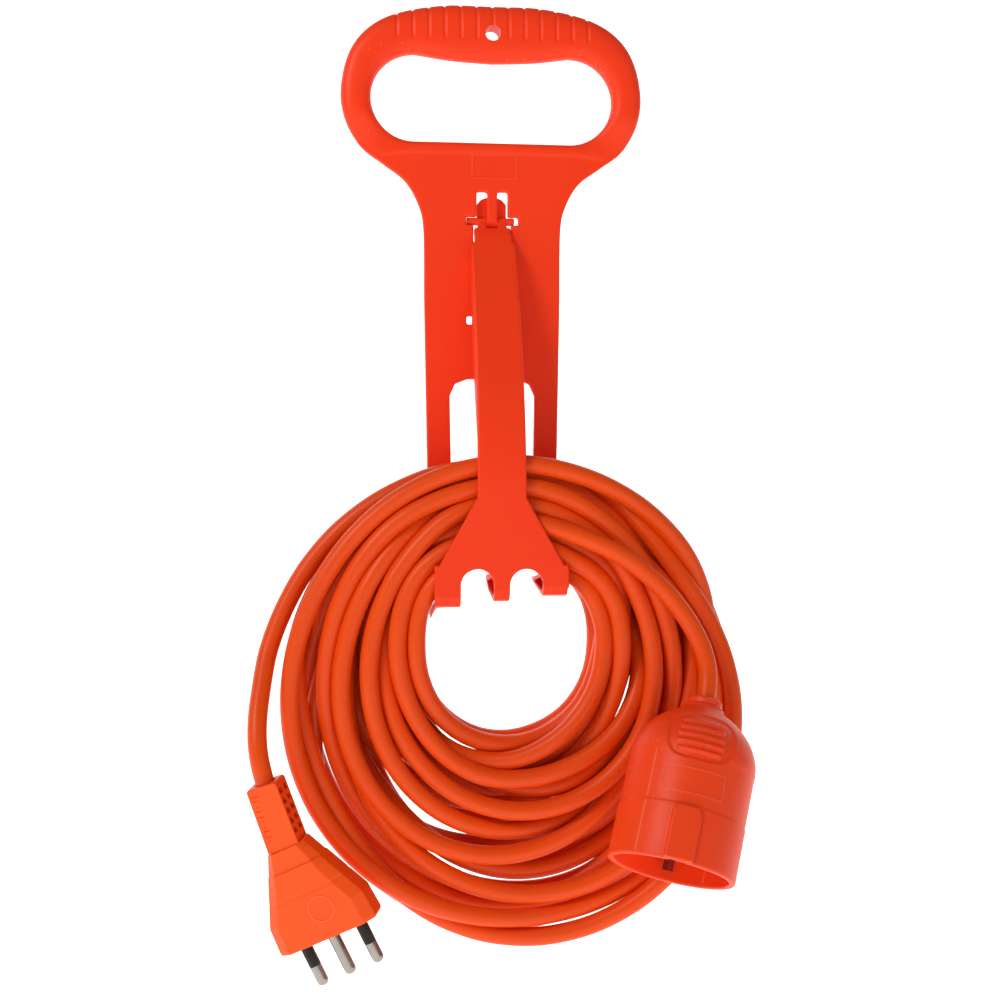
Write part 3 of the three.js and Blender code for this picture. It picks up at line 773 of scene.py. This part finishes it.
def piece(name, mesh, slot, nodes=(), place=None, body=ROOT, angle=None):
    if place is not None:
        mesh.transform(place)
    obj = add_object(name, mesh, body)
    if angle is None:
        mesh.polygons.foreach_set("use_smooth", [True] * len(mesh.polygons))
    else:
        smooth_shade(obj, angle)
    dress(obj, slot)
    if nodes:
        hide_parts(*nodes)
    return obj


VOXEL = 0.42  # mm, for the large moulded pieces
FINE = 0.22  # mm, for the small ones

# ------------------------------------------------------------------ pieces: the handle plate
LOOP_OUTSIDE = [
    (0, 12.9),
    (22, 12.6),
    (43.4, 8.2),
    (56.5, 0.4),
    (64, -11),
    (67, -27),
    (64.6, -40),
    (57.9, -50.8),
]
LOOP_TOP = [(0, -12.6), (18, -11.6), (34, -9.4)]
OPENING = dict(x=34.6, z=-28.5, radius=19.1)  # the round ends of the loop's opening
SHOULDER = [
    (57.9, -50.8),
    (48, -58.3),
    (38.7, -65.4),
    (32.8, -75.6),
    (30.5, -87),
    (30.2, -117),
]
FEET = [(28.9, -188), (28.4, -231), (26.4, -233)]
GRIP_HALF = 46.0
GRIP_RIDGES = 13
GRIP_DEPTH = 0.5
GRIP_FOOT = -3.5  # the ridges stop at this height
HANG_HOLE_RADIUS = 3.45


def even(points, count):
    """count points evenly spaced along a closed outline in X and Z."""
    p = np.array([(x, 0, z) for x, z in points + [points[0]]], float)
    s = arc_lengths(p)
    at = np.linspace(0, s[-1], count, endpoint=False)
    return np.column_stack([np.interp(at, s, p[:, 0]), np.interp(at, s, p[:, 2])])


def smoothstep(t):
    t = min(max(t, 0.0), 1.0)
    return t * t * (3 - 2 * t)


def loop_outlines(count):
    """The loop's outside, which runs on into the shoulders, and the edge of its opening."""
    side = [(x, z) for x, z in flat_spline(LOOP_OUTSIDE + SHOULDER[1:3], 1) if z > -56]
    outside = even(mirrored(side + [(40, -54), (0, -53.5)]), count)
    x, z, radius = OPENING["x"], OPENING["z"], OPENING["radius"]
    turns = [math.radians(a) for a in range(6, 181, 6)]
    arc = [(x + radius * math.sin(a), z + radius * math.cos(a)) for a in turns]
    inside = even(mirrored(flat_spline(LOOP_TOP, 1) + arc + [(0, z - radius)]), count)
    return outside, inside


def loop_sections(count=260, ring=36):
    """Rounded sections from the loop's inside to its outside, all the way round. They thin out
    to the plate's thickness below the opening."""
    outside, inside = loop_outlines(count)
    angle = np.linspace(0, 2 * np.pi, ring, endpoint=False)
    c, s = np.cos(angle), np.sin(angle)
    across = np.sign(c) * np.abs(c) ** 0.8
    deep = np.sign(s) * np.abs(s) ** 0.8
    sections = []
    for i in range(count):
        middle, half = (inside[i] + outside[i]) / 2, (outside[i] - inside[i]) / 2
        thin = smoothstep((-34 - middle[1]) / 16)
        depth = LOOP_DEPTH / 2 + (PLATE / 2 + 0.5 - LOOP_DEPTH / 2) * thin
        x, z = middle[0] + half[0] * across, middle[1] + half[1] * across
        sections.append(np.column_stack([x, depth * deep, z]))
    return sections


def cut_grip(p):
    """Sink the grooves between the grip's ridges into points of the loop's top bar."""
    above = np.clip((p[:, 2] - GRIP_FOOT) / 1.5, 0, 1)
    on_bar = above * np.clip(GRIP_HALF - np.abs(p[:, 0]), 0, 1)
    wave = np.cos(np.pi * (p[:, 0] / GRIP_HALF) * GRIP_RIDGES)
    groove = np.clip((wave - 0.72) / 0.28, 0, 1)
    middle = np.array([0, 0.5])
    out = p[:, 1:] - middle
    out /= np.linalg.norm(out, axis=1)[:, None] + 1e-9
    p[:, 1:] -= out * (GRIP_DEPTH * groove * on_bar)[:, None]


def window_outline():
    """The hinge window with the tongue standing in it, in X and Z."""
    tip = HINGE[1] - 0.6
    half = TONGUE / 2
    right = [(half, tip), (half, -69.4), (6.9, -69.4), (6.9, -80.5), (11.6, -80.5), (11.6, -84.1)]
    right += [(8.35, -84.1), (8.35, -92)]
    return mirrored(right)


def set_points(mesh, change):
    """Move a mesh's points with a function that changes them in place, in mm."""
    p = np.empty(len(mesh.vertices) * 3)
    mesh.vertices.foreach_get("co", p)
    p = p.reshape(-1, 3) / MM
    change(p)
    mesh.vertices.foreach_set("co", (p * MM).ravel())
    mesh.update()


def label_frame(half_width, half_height, line, y0, y1, at):
    """A plain raised frame, where the original has lettering."""
    outlines = []
    for grow in (0, -line):
        w, h = half_width + grow, half_height + grow
        signs = ((-1, -1), (1, -1), (1, 1), (-1, 1))
        outlines.append([(at[0] + w * across, at[1] + h * up) for across, up in signs])
    return slab(outlines, y0, y1)


def make_handle_plate():
    """The loop with its grip, and the web with the hinge window, a slot and two legs."""
    sections = loop_sections()
    loop = loft(sections + [sections[0]])
    half = PLATE / 2
    side = [(x, z) for x, z in flat_spline(LOOP_OUTSIDE[-3:] + SHOULDER[1:]) if z < -47]
    outline = mirrored([(44, -49.5), (54, -49)] + side + FEET)
    gap = mirrored([(11, -152.5), (16.5, -154.6), (18.9, -160), (17.8, -221), (15.8, -223)])
    second_slot = [(-11.5, -124.6), (11.5, -124.6), (11.5, -128.2), (-11.5, -128.2)]
    web = slab([outline, gap, window_outline(), second_slot], -half, half, 0.5, 2)
    thin_tongue = block(-TONGUE / 2 - 0.1, TONGUE / 2 + 0.1, -0.55, half + 1, -92, -70.5)
    web = cut(web, thin_tongue)
    body = moulded(joined(loop, web), VOXEL, 6)
    body = cut(body, rod(HANG_HOLE_RADIUS, (0, -20, 0), (0, 20, 0), 56))
    set_points(body, cut_grip)
    piece("handle", body, "holder", ["handle_plate"], angle=50)
    frame_mesh = label_frame(10, 5.35, 0.5, -half - 0.2, -half + 0.3, (0.8, -58.4))
    piece("handle_label_frame", frame_mesh, "holder", angle=30)


make_handle_plate()

# ------------------------------------------------------------------ pieces: the clamp arm
ARM_LINE = [
    (1.3, -82.3),
    (-1.8, -87.4),
    (-4.9, -92),
    (-15, -113),
    (-27, -142),
    (-35.2, -168),
    (-39, -192),
    (-39.2, -212),
    (-39.2, -236),
]
ARM_WIDTHS = [
    (-78, 6.4),
    (-85.9, 6.4),
    (-86, 8.25),
    (-92.6, 8.25),
    (-94.4, 9.8),
    (-205, 10.35),
    (-235.5, 27.5),
    (-238, 28.4),
]
ARCH = dict(x=10.35, z=-242.0, radius=7.05)
TINES = [(-FORK, -17.4, -251.2), (-3.3, 3.3, -248.8), (17.4, FORK - 0.6, -246.6)]
CLEAR_ARC = 156.4  # the tines' upper sides keep this far from the hinge, to swing clear
BAR_RADIUS = 1.72
TONGUE_ROOM = 3.5  # radius of the room round the pivot for the spring tongue


def arm_width(z):
    heights = [h for h, _ in ARM_WIDTHS][::-1]
    return float(np.interp(z, heights, [w for _, w in ARM_WIDTHS][::-1]))


def strip_sections():
    """Rounded-corner sections of the arm's front strip, from the pivot down to the arches."""
    line = spline([(0, y, z) for y, z in ARM_LINE], 0.8)
    along = np.gradient(line, axis=0)
    along /= np.linalg.norm(along, axis=1)[:, None]
    r = 0.7
    sections = []
    for point, t in zip(line, along):
        w, h = arm_width(point[2]), STRIP / 2
        normal = np.array([0, -t[2], t[1]])
        ring = []
        corners = ((w - r, h - r, 0), (-w + r, h - r, 90), (-w + r, -h + r, 180), (w - r, -h + r, 270))
        for cx, cn, first in corners:
            for k in range(4):
                a = math.radians(first + 30 * k)
                x, n = cx + r * math.cos(a), cn + r * math.sin(a)
                ring.append((x, point[1] + n * normal[1], point[2] + n * normal[2]))
        sections.append(ring)
    return sections


def hole_drop(x):
    """How far the bundle's opening lies below its top at x."""
    share = min(abs((x - HOLE["x"]) / HOLE["half_width"]), 0.97)
    return HOLE["up"] * (1 - (1 - share ** HOLE["power"]) ** (1 / HOLE["power"]))


def tine_section(x, under):
    """A tine's outline in Y and Z. Its upper side is an arc about the hinge."""
    radius = CLEAR_ARC + hole_drop(x)
    tip = HINGE[1] - math.sqrt(radius**2 - 5.3**2)
    points = [
        (x, FORK_FRONT, -233.5),
        (x, FORK_FRONT, under + 4.5),
        (x, FORK_FRONT + 0.5, under + 2.5),
        (x, FORK_FRONT + 1.8, under + 0.9),
        (x, FORK_FRONT + 5, under),
        (x, -14, min(under + 3.4, tip - 3)),
        (x, -4, tip - 1.8),
    ]
    for k in range(17):
        y = -4 + (FORK_FRONT + STRIP + 4) * k / 16
        points.append((x, y, HINGE[1] - math.sqrt(radius**2 - (y - HINGE[0]) ** 2)))
    points.append((x, FORK_FRONT + STRIP, -233.5))
    return points


def side_slab(outline, x0, x1):
    return loft([[(x, y, z) for y, z in outline] for x in (x0, x1)])


def pockets(left, right, under):
    """The hollows in a tine's two sides, which leave a band round it and a web in its middle."""
    outline = [(-37.6, -238), (-37.6, under + 5), (-34.5, under + 2.4), (-20, under + 4), (-9, -241.4)]
    outline += [(-14, -240.6), (-26, -239.2)]
    web = 0.8
    middle = (left + right) / 2
    return [side_slab(outline, left - 1, middle - web), side_slab(outline, middle + web, right + 1)]


def make_clamp_arm():
    """The arm is one moulding: the pivot bar, the stop tab, the channel and the fork."""
    strip = loft(strip_sections())
    tines = [
        loft([tine_section(left + (right - left) * k / 8, under) for k in range(9)])
        for left, right, under in TINES
    ]
    arches = [
        rod(ARCH["radius"], (side * ARCH["x"], -60, ARCH["z"]), (side * ARCH["x"], 0, ARCH["z"]), 72)
        for side in (-1, 1)
    ]
    edge = [(-2.4, -101), (-2.4, -106), (-6.5, -126), (-15.5, -150), (-27, -172), (-38.8, -192)]
    flange = [(-6.2, -96)] + edge + [(-35, -168), (-27, -142), (-15, -113)]
    flanges = [side_slab(flange, 7.85, 9.75), side_slab(flange, -9.75, -7.85)]
    side = TONGUE / 2 + 0.5
    y, z = HINGE
    room = rod(TONGUE_ROOM, (-side, y, z), (side, y, z), 48)
    wedge = block(-side, side, y - 9.3, y - 1.2, z - TONGUE_ROOM, z + 6)
    bar = rod(BAR_RADIUS, (-11.3, y, z), (10.0, y, z), 32)
    spine = block(-6, 6, y + 0.9, y + 2.4, z - 5, z)
    apron_outline = mirrored([(FORK, -235), (FORK, ARCH["z"] - 1)])
    apron = slab([apron_outline], FORK_FRONT, FORK_FRONT + STRIP, 0.6, 2)
    tab = slab([mirrored([(2, -71.2), (4.6, -72.2), (6.6, -74.4), (6.6, z)])], 2.05, 4.45, 0.5, 2)
    front = moulded(joined(strip, apron), VOXEL * 0.8, 0)
    front = cut(front, room, wedge, *arches)
    tines = [cut(tine, *pockets(x0, x1, under)) for tine, (x0, x1, under) in zip(tines, TINES)]
    body = moulded(joined(front, *flanges, *tines, bar, spine, tab), VOXEL * 0.8, 3)
    piece("clamp", body, "holder", ["clamp_arm"], body=CLAMP)


make_clamp_arm()

# ------------------------------------------------------------------ pieces: the plug
# In the plug's frame the pins point to -Z, +X is its wide side and -Y its face.
PLUG_HALF = 8.0
PLUG_TOP = 40.6
PLUG_OUTLINE = [(8.3, PLUG_TOP), (21.7, 12), (22.3, 1.2), (21.9, 0)]
PLUG_MARGIN = 4.8  # the bevel beside the face
PLUG_STEP = PLUG_TOP - 8.6  # above this height the face stands back
CREASE = 21.0  # height of the crease across the face
PIN_PITCH = 13.0
PIN_RADIUS = 2.5
PIN_LENGTH = 19.0
PIN_SLEEVE = 10.0


def plug_width(z):
    heights = [h for _, h in PLUG_OUTLINE][::-1]
    return float(np.interp(z, heights, [w for w, _ in PLUG_OUTLINE][::-1]))


def plug_section(z):
    """An eight-sided section: flat sides, and a face and a back narrower than the sides."""
    w = plug_width(z)
    # The face stands proud, steps down near the top and is creased across its middle.
    half = PLUG_HALF
    if z > PLUG_STEP:
        half -= 0.9
    if abs(z - CREASE) < 0.8:
        half -= 0.25
    lip = PLUG_MARGIN * min(1.0, w / 16)
    side = half - 3.1
    flat = [(w, -side), (w - lip, -half), (lip - w, -half), (-w, -side)]
    return [(x, y, z) for x, y in flat + [(-w, side), (lip - w, half), (w - lip, half), (w, side)]]


def make_plug_body():
    crease = [CREASE - 0.8, CREASE - 0.79, CREASE + 0.79, CREASE + 0.8]
    heights = [0, 1.2, 8, 12, *crease, 26, PLUG_STEP - 0.02, PLUG_STEP + 0.02, 36, PLUG_TOP]
    solid = loft([plug_section(z) for z in heights])
    cavity = slab([mirrored([(4.6, 43), (4.6, 25), (17, 15), (17, 3)])], -4.9, 4.9)
    holes = [rod(PIN_RADIUS + 0.45, (i * PIN_PITCH, 0, -2), (i * PIN_PITCH, 0, 5)) for i in (-1, 0, 1)]
    ring = turned([(5.0, -0.25), (5.7, -0.25), (5.7, 1), (5.0, 1)])
    on_face = Matrix.Translation(Vector((3.8, -PLUG_HALF, 12.5)) * MM)
    ring.transform(on_face @ Matrix.Rotation(-math.pi / 2, 4, "X"))
    body = moulded(cut(solid, cavity, *holes), FINE * 1.2, 2, 0.4)
    piece("plug", body, "plug_pvc", ["plug_body"], PLUG_FRAME)
    piece("plug_ring", ring, "plug_pvc", place=PLUG_FRAME, angle=40)


def make_pins():
    r = PIN_RADIUS
    tip = [(0, -PIN_LENGTH), (r * 0.42, -PIN_LENGTH + 0.1), (r * 0.72, -PIN_LENGTH + 0.5)]
    tip += [(r * 0.91, -PIN_LENGTH + 1.1), (r * 0.99, -PIN_LENGTH + 1.9), (r, -PIN_LENGTH + 2.8)]
    for i, name in enumerate(("line", "earth", "neutral")):
        at = PLUG_FRAME @ Matrix.Translation((PIN_PITCH * (i - 1) * MM, 0, 0))
        neck = 1.75 if name != "earth" else r - 0.02
        shank = [(r, -PIN_SLEEVE), (neck, -PIN_SLEEVE), (neck, 0.4), (r, 0.4), (r, 13), (0, 13)]
        piece(f"{name}_pin_fine", turned(tip + shank, 64), "nickel", [f"{name}_pin"], at, angle=35)
        if name == "earth":
            continue
        top, end = 0.1, -PIN_SLEEVE + 0.1
        sleeve = [(2.05, end), (2.4, end), (r, end + 0.15), (r, top - 0.1), (2.4, top), (2.05, top)]
        piece(f"{name}_sleeve_fine", turned(sleeve, 64), "black", [f"{name}_pin_sleeve"], at, angle=35)


# ------------------------------------------------------------------ pieces: the plug's strain relief
SLEEVE_LENGTH, SLEEVE_WIDTH, SLEEVE_DEPTH = 26.0, 13.8, 12.4
WINDOWS = 5
WINDOW_FOOT, WINDOW_PITCH, WINDOW_HEIGHT = 3.4, 4.3, 2.3


def make_strain_relief():
    w, d = SLEEVE_WIDTH / 2, SLEEVE_DEPTH / 2
    outline = mirrored([(w, -1.6), (w - 0.3, SLEEVE_LENGTH - 0.8), (w - 1.1, SLEEVE_LENGTH)])
    solid = slab([outline], -d, d, 0.35, 2)
    tools = [rod(CORD_D / 2 + 0.4, (0, 0, -4), (0, 0, SLEEVE_LENGTH + 2), 48)]
    for i in range(WINDOWS):
        z = WINDOW_FOOT + i * WINDOW_PITCH
        for side in (-1, 1):
            # Windows in the side wall, one on each side of its middle, and a mark on the face.
            x = sorted((side * (w - 3.2), side * (w + 1)))
            tools.append(block(*x, -d + 1.2, -1.1, z, z + WINDOW_HEIGHT))
            tools.append(block(*x, 1.1, d - 1.2, z, z + WINDOW_HEIGHT))
        tools.append(block(-w + 1.4, -w + 4.4, -d - 1, -d + 0.5, z, z + 0.5))
        tools.append(block(-w + 1.4, -w + 4.4, -d - 1, -d + 0.5, z + 1.8, z + 2.3))
        tools.append(block(-w + 2.7, -w + 3.1, -d - 1, -d + 0.5, z, z + 2.3))
    body = moulded(cut(solid, *tools), FINE, 1, 0.4)
    piece("strain_relief", body, "plug_pvc", ["plug_strain_relief"], SLEEVE_FRAME)


make_plug_body()
make_pins()
make_strain_relief()

# ------------------------------------------------------------------ pieces: the socket
# In the socket's frame the mouth is at z = 0, the cord leaves at +Z and -Y is the front.
SHELL_RADIUS = 26.0
SHELL_WAIST = 25.72  # the wall above the key is a little narrower
BORE = 23.4
DOME = [(SHELL_RADIUS, 43.5), (25.1, 49.5), (21.8, 56.5), (16, 62.5), (9.4, 67), (8.4, 69)]
SHELL_INSIDE = [(4.6, 69), (4.6, 65.6), (13, 59.9), (19.8, 54.5), (22.8, 48.5), (BORE, 43.5), (BORE, 0)]
SHELL_VOXEL = 0.36
SCREW_AT = dict(turn=math.radians(135), z=13)
KEY = dict(half=5.6, top=22.0, foot=0.4, front=-27.3)
PANEL = dict(z=51.0, half_width=14.0, half_height=10.5, sink=0.9)
PANEL_RIBS = 5
RIB_PITCH = 3.3


def sink_panel(p):
    """Press the thumb panel into points of the dome's front, and raise its ribs."""
    front = p[:, 1] < 0
    dz = (p[:, 2] - PANEL["z"]) / PANEL["half_height"]
    # The panel's height is measured along Z and its width along X.
    dx = p[:, 0] / PANEL["half_width"]
    inside = 1 - (np.abs(dx) ** 3.2 + np.abs(dz) ** 3.2) ** (1 / 3.2)
    depth = PANEL["sink"] * np.clip(inside / 0.09, 0, 1)
    row = (p[:, 2] - PANEL["z"]) / RIB_PITCH
    nearest = np.clip(np.round(row), -(PANEL_RIBS // 2), PANEL_RIBS // 2)
    across = np.abs(row - nearest)
    length = 10.2 - 0.55 * np.abs(nearest + 0.5)
    rib = np.clip((0.30 - across) / 0.14, 0, 1) * np.clip((length - np.abs(p[:, 0])) / 0.9, 0, 1)
    radius = np.hypot(p[:, 0], p[:, 1]) + 1e-9
    bore_radii, bore_heights = np.array(SHELL_INSIDE[::-1], float).T
    outer = radius > np.interp(p[:, 2], bore_heights, bore_radii) + 1.2
    move = np.where(front & outer & (p[:, 2] > 36), -depth + 0.95 * rib * (inside > 0.09), 0)
    scale = 1 + move / radius
    p[:, 0] *= scale
    p[:, 1] *= scale


def shell_profile():
    """The shell's section: a rounded rim, a low step beside the key, the dome and the bore."""
    rim = [(BORE, 0.5), (BORE + 0.4, 0), (SHELL_RADIUS - 0.5, 0), (SHELL_RADIUS, 0.6)]
    wall = [(SHELL_RADIUS, z) for z in np.arange(2, 22.1, 2.0)] + [(SHELL_WAIST, 22.5)]
    wall += [(SHELL_WAIST, z) for z in np.arange(24, 43, 2.0)]
    dome = [(r, z) for r, z in flat_spline(DOME, 0.8) if z > 44]
    inside = flat_spline(SHELL_INSIDE[1:-1], 1.2)
    return rim + wall + dome + SHELL_INSIDE[:1] + inside + [(BORE, 30), (BORE, 12)]


def curved_frame(half_width, half_height, line, radius, at):
    """A plain raised frame on the shell's front, where the original has lettering."""
    bars = []
    for side in (-1, 1):
        x = sorted((side * (half_width - line), side * half_width))
        bars.append((x[0], x[1], -half_height, half_height))
        z = sorted((side * (half_height - line), side * half_height))
        bars.append((-half_width, half_width, z[0], z[1]))
    meshes = []
    for x0, x1, z0, z1 in bars:
        rings = []
        for k in range(25):
            a = (x0 + (x1 - x0) * k / 24) / radius - math.pi / 2
            low, high = radius - 0.5, radius + 0.18
            c, n = math.cos(a), math.sin(a)
            around = ((low, z0), (high, z0), (high, z1), (low, z1))
            rings.append([(r * c, r * n, at + z) for r, z in around])
        meshes.append(loft(rings))
    return joined(*meshes)


def screw_point(radius):
    """A point on the axis of the screw that holds the insert."""
    turn = SCREW_AT["turn"]
    return (radius * math.cos(turn), radius * math.sin(turn), SCREW_AT["z"])


def make_socket_shell():
    """The shell and its key rib. The groove and the screw hole are cut once it is moulded."""
    shell = turned(shell_profile(), 220)
    half, top = KEY["half"], KEY["top"]
    outline = [(half - 1.2, top), (half, top - 2.5), (half, KEY["foot"])]
    rib = slab([mirrored(outline)], KEY["front"], -24.5, 0.5, 2)
    screw = rod(2.8, screw_point(25), screw_point(30))
    through = rod(1.6, screw_point(18), screw_point(30))
    body = moulded(joined(shell, rib), SHELL_VOXEL, 2)
    body = cut(body, block(-3.6, 3.6, -25.2, -22, -2, 18), screw, through)
    set_points(body, sink_panel)
    piece("socket", body, "socket_pvc", ["socket_shell"], SOCKET_FRAME)
    frame_mesh = curved_frame(13.0, 5.2, 0.45, SHELL_WAIST, 32)
    piece("socket_label_frame", frame_mesh, "socket_pvc", place=SOCKET_FRAME, angle=30)


def make_grommet():
    base = 69.3
    profile = [(4.6, base), (6.9, base), (7.2, base + 0.4), (7.2, base + 2.3), (6.9, base + 2.7)]
    profile += [(6.5, base + 2.9), (6.3, base + 3.4), (4.6, base + 3.4)]
    piece("grommet", turned(profile, 96), "socket_pvc", ["socket_grommet"], SOCKET_FRAME, angle=35)


make_socket_shell()
make_grommet()

# ------------------------------------------------------------------ the CAD pieces that stay
KEPT = {
    "plug_bridge": "carrier",
    "plug_core_brown": "core_brown",
    "plug_core_green_yellow": "core_green",
    "plug_core_blue": "core_blue",
    "socket_insert": "socket_pvc",
    "earth_strap": "nickel",
    "line_contact": "brass",
    "earth_contact": "brass",
    "neutral_contact": "brass",
    "socket_core_brown": "core_brown",
    "socket_core_green_yellow": "core_green",
    "socket_core_blue": "core_blue",
    "cord_clamp": "black",
    "clamp_screw_1": "steel",
    "clamp_screw_2": "steel",
    "insert_screw": "steel",
}
for node, finish in KEPT.items():
    obj = frame["nodes"][node]
    for material_slot in obj.material_slots:
        material_slot.material = MATERIALS[finish]

# ------------------------------------------------------------------ the pieces that ride on the cord, gathered in a list
ON_CORD = [
    "plug", "plug_ring", "line_pin_fine", "earth_pin_fine", "neutral_pin_fine",
    "line_sleeve_fine", "neutral_sleeve_fine", "strain_relief", "socket", "grommet",
]
with_cord = [bpy.data.objects[name] for name in ON_CORD]
with_cord += [frame["nodes"][name] for name in KEPT]

# ------------------------------------------------------------------ floor and light
AMBIENT = 0.2
BACKDROP_GLOW = 0.8


def make_backdrop():
    """A pale floor that curves up into a backdrop behind the object."""
    floor, back, bend, half = CAD_BOX[0][2] - 0.05, 1.1, 0.7, 3.0
    profile = [(-2.5, floor), (back - bend, floor)]
    for k in range(1, 17):
        a = math.pi / 2 * k / 16
        profile.append((back - bend + bend * math.sin(a), floor + bend - bend * math.cos(a)))
    profile.append((back, 2.0))
    verts = [(x, y, z) for x in (-half, half) for y, z in profile]
    n = len(profile)
    sweep = mesh_from("floor", verts, [(k, k + 1, n + k + 1, n + k) for k in range(n - 1)])
    sweep.polygons.foreach_set("use_smooth", [True] * (n - 1))
    mat = bpy.data.materials.new("floor")
    mat.use_nodes = True
    shader = mat.node_tree.nodes["Principled BSDF"]
    shader.inputs["Base Color"].default_value = (0.93, 0.93, 0.93, 1)
    shader.inputs["Roughness"].default_value = 0.9
    shader.inputs["Emission Color"].default_value = (1, 1, 1, 1)
    shader.inputs["Emission Strength"].default_value = BACKDROP_GLOW
    sweep.materials.append(mat)
    floor_object = bpy.data.objects.new("floor", sweep)
    bpy.context.scene.collection.objects.link(floor_object)


def make_studio():
    world = bpy.data.worlds.new("studio")
    world.use_nodes = True
    world.node_tree.nodes["Background"].inputs["Color"].default_value = (1, 1, 1, 1)
    world.node_tree.nodes["Background"].inputs["Strength"].default_value = AMBIENT
    bpy.context.scene.world = world
    bpy.context.scene.view_settings.view_transform = "Standard"


def area_light(name, place, size, watts):
    data = bpy.data.lights.new(name, "AREA")
    data.size = size
    data.energy = watts
    light = bpy.data.objects.new(name, data)
    light.location = place
    light.rotation_euler = (CAMERA_TARGET - light.location).to_track_quat("-Z", "Y").to_euler()
    bpy.context.scene.collection.objects.link(light)


make_backdrop()
make_studio()
area_light("key", Vector((-0.75, -0.75, 0.45)), 0.4, 6.3)
area_light("fill", Vector((0.9, -0.9, -0.1)), 1.0, 0.6)
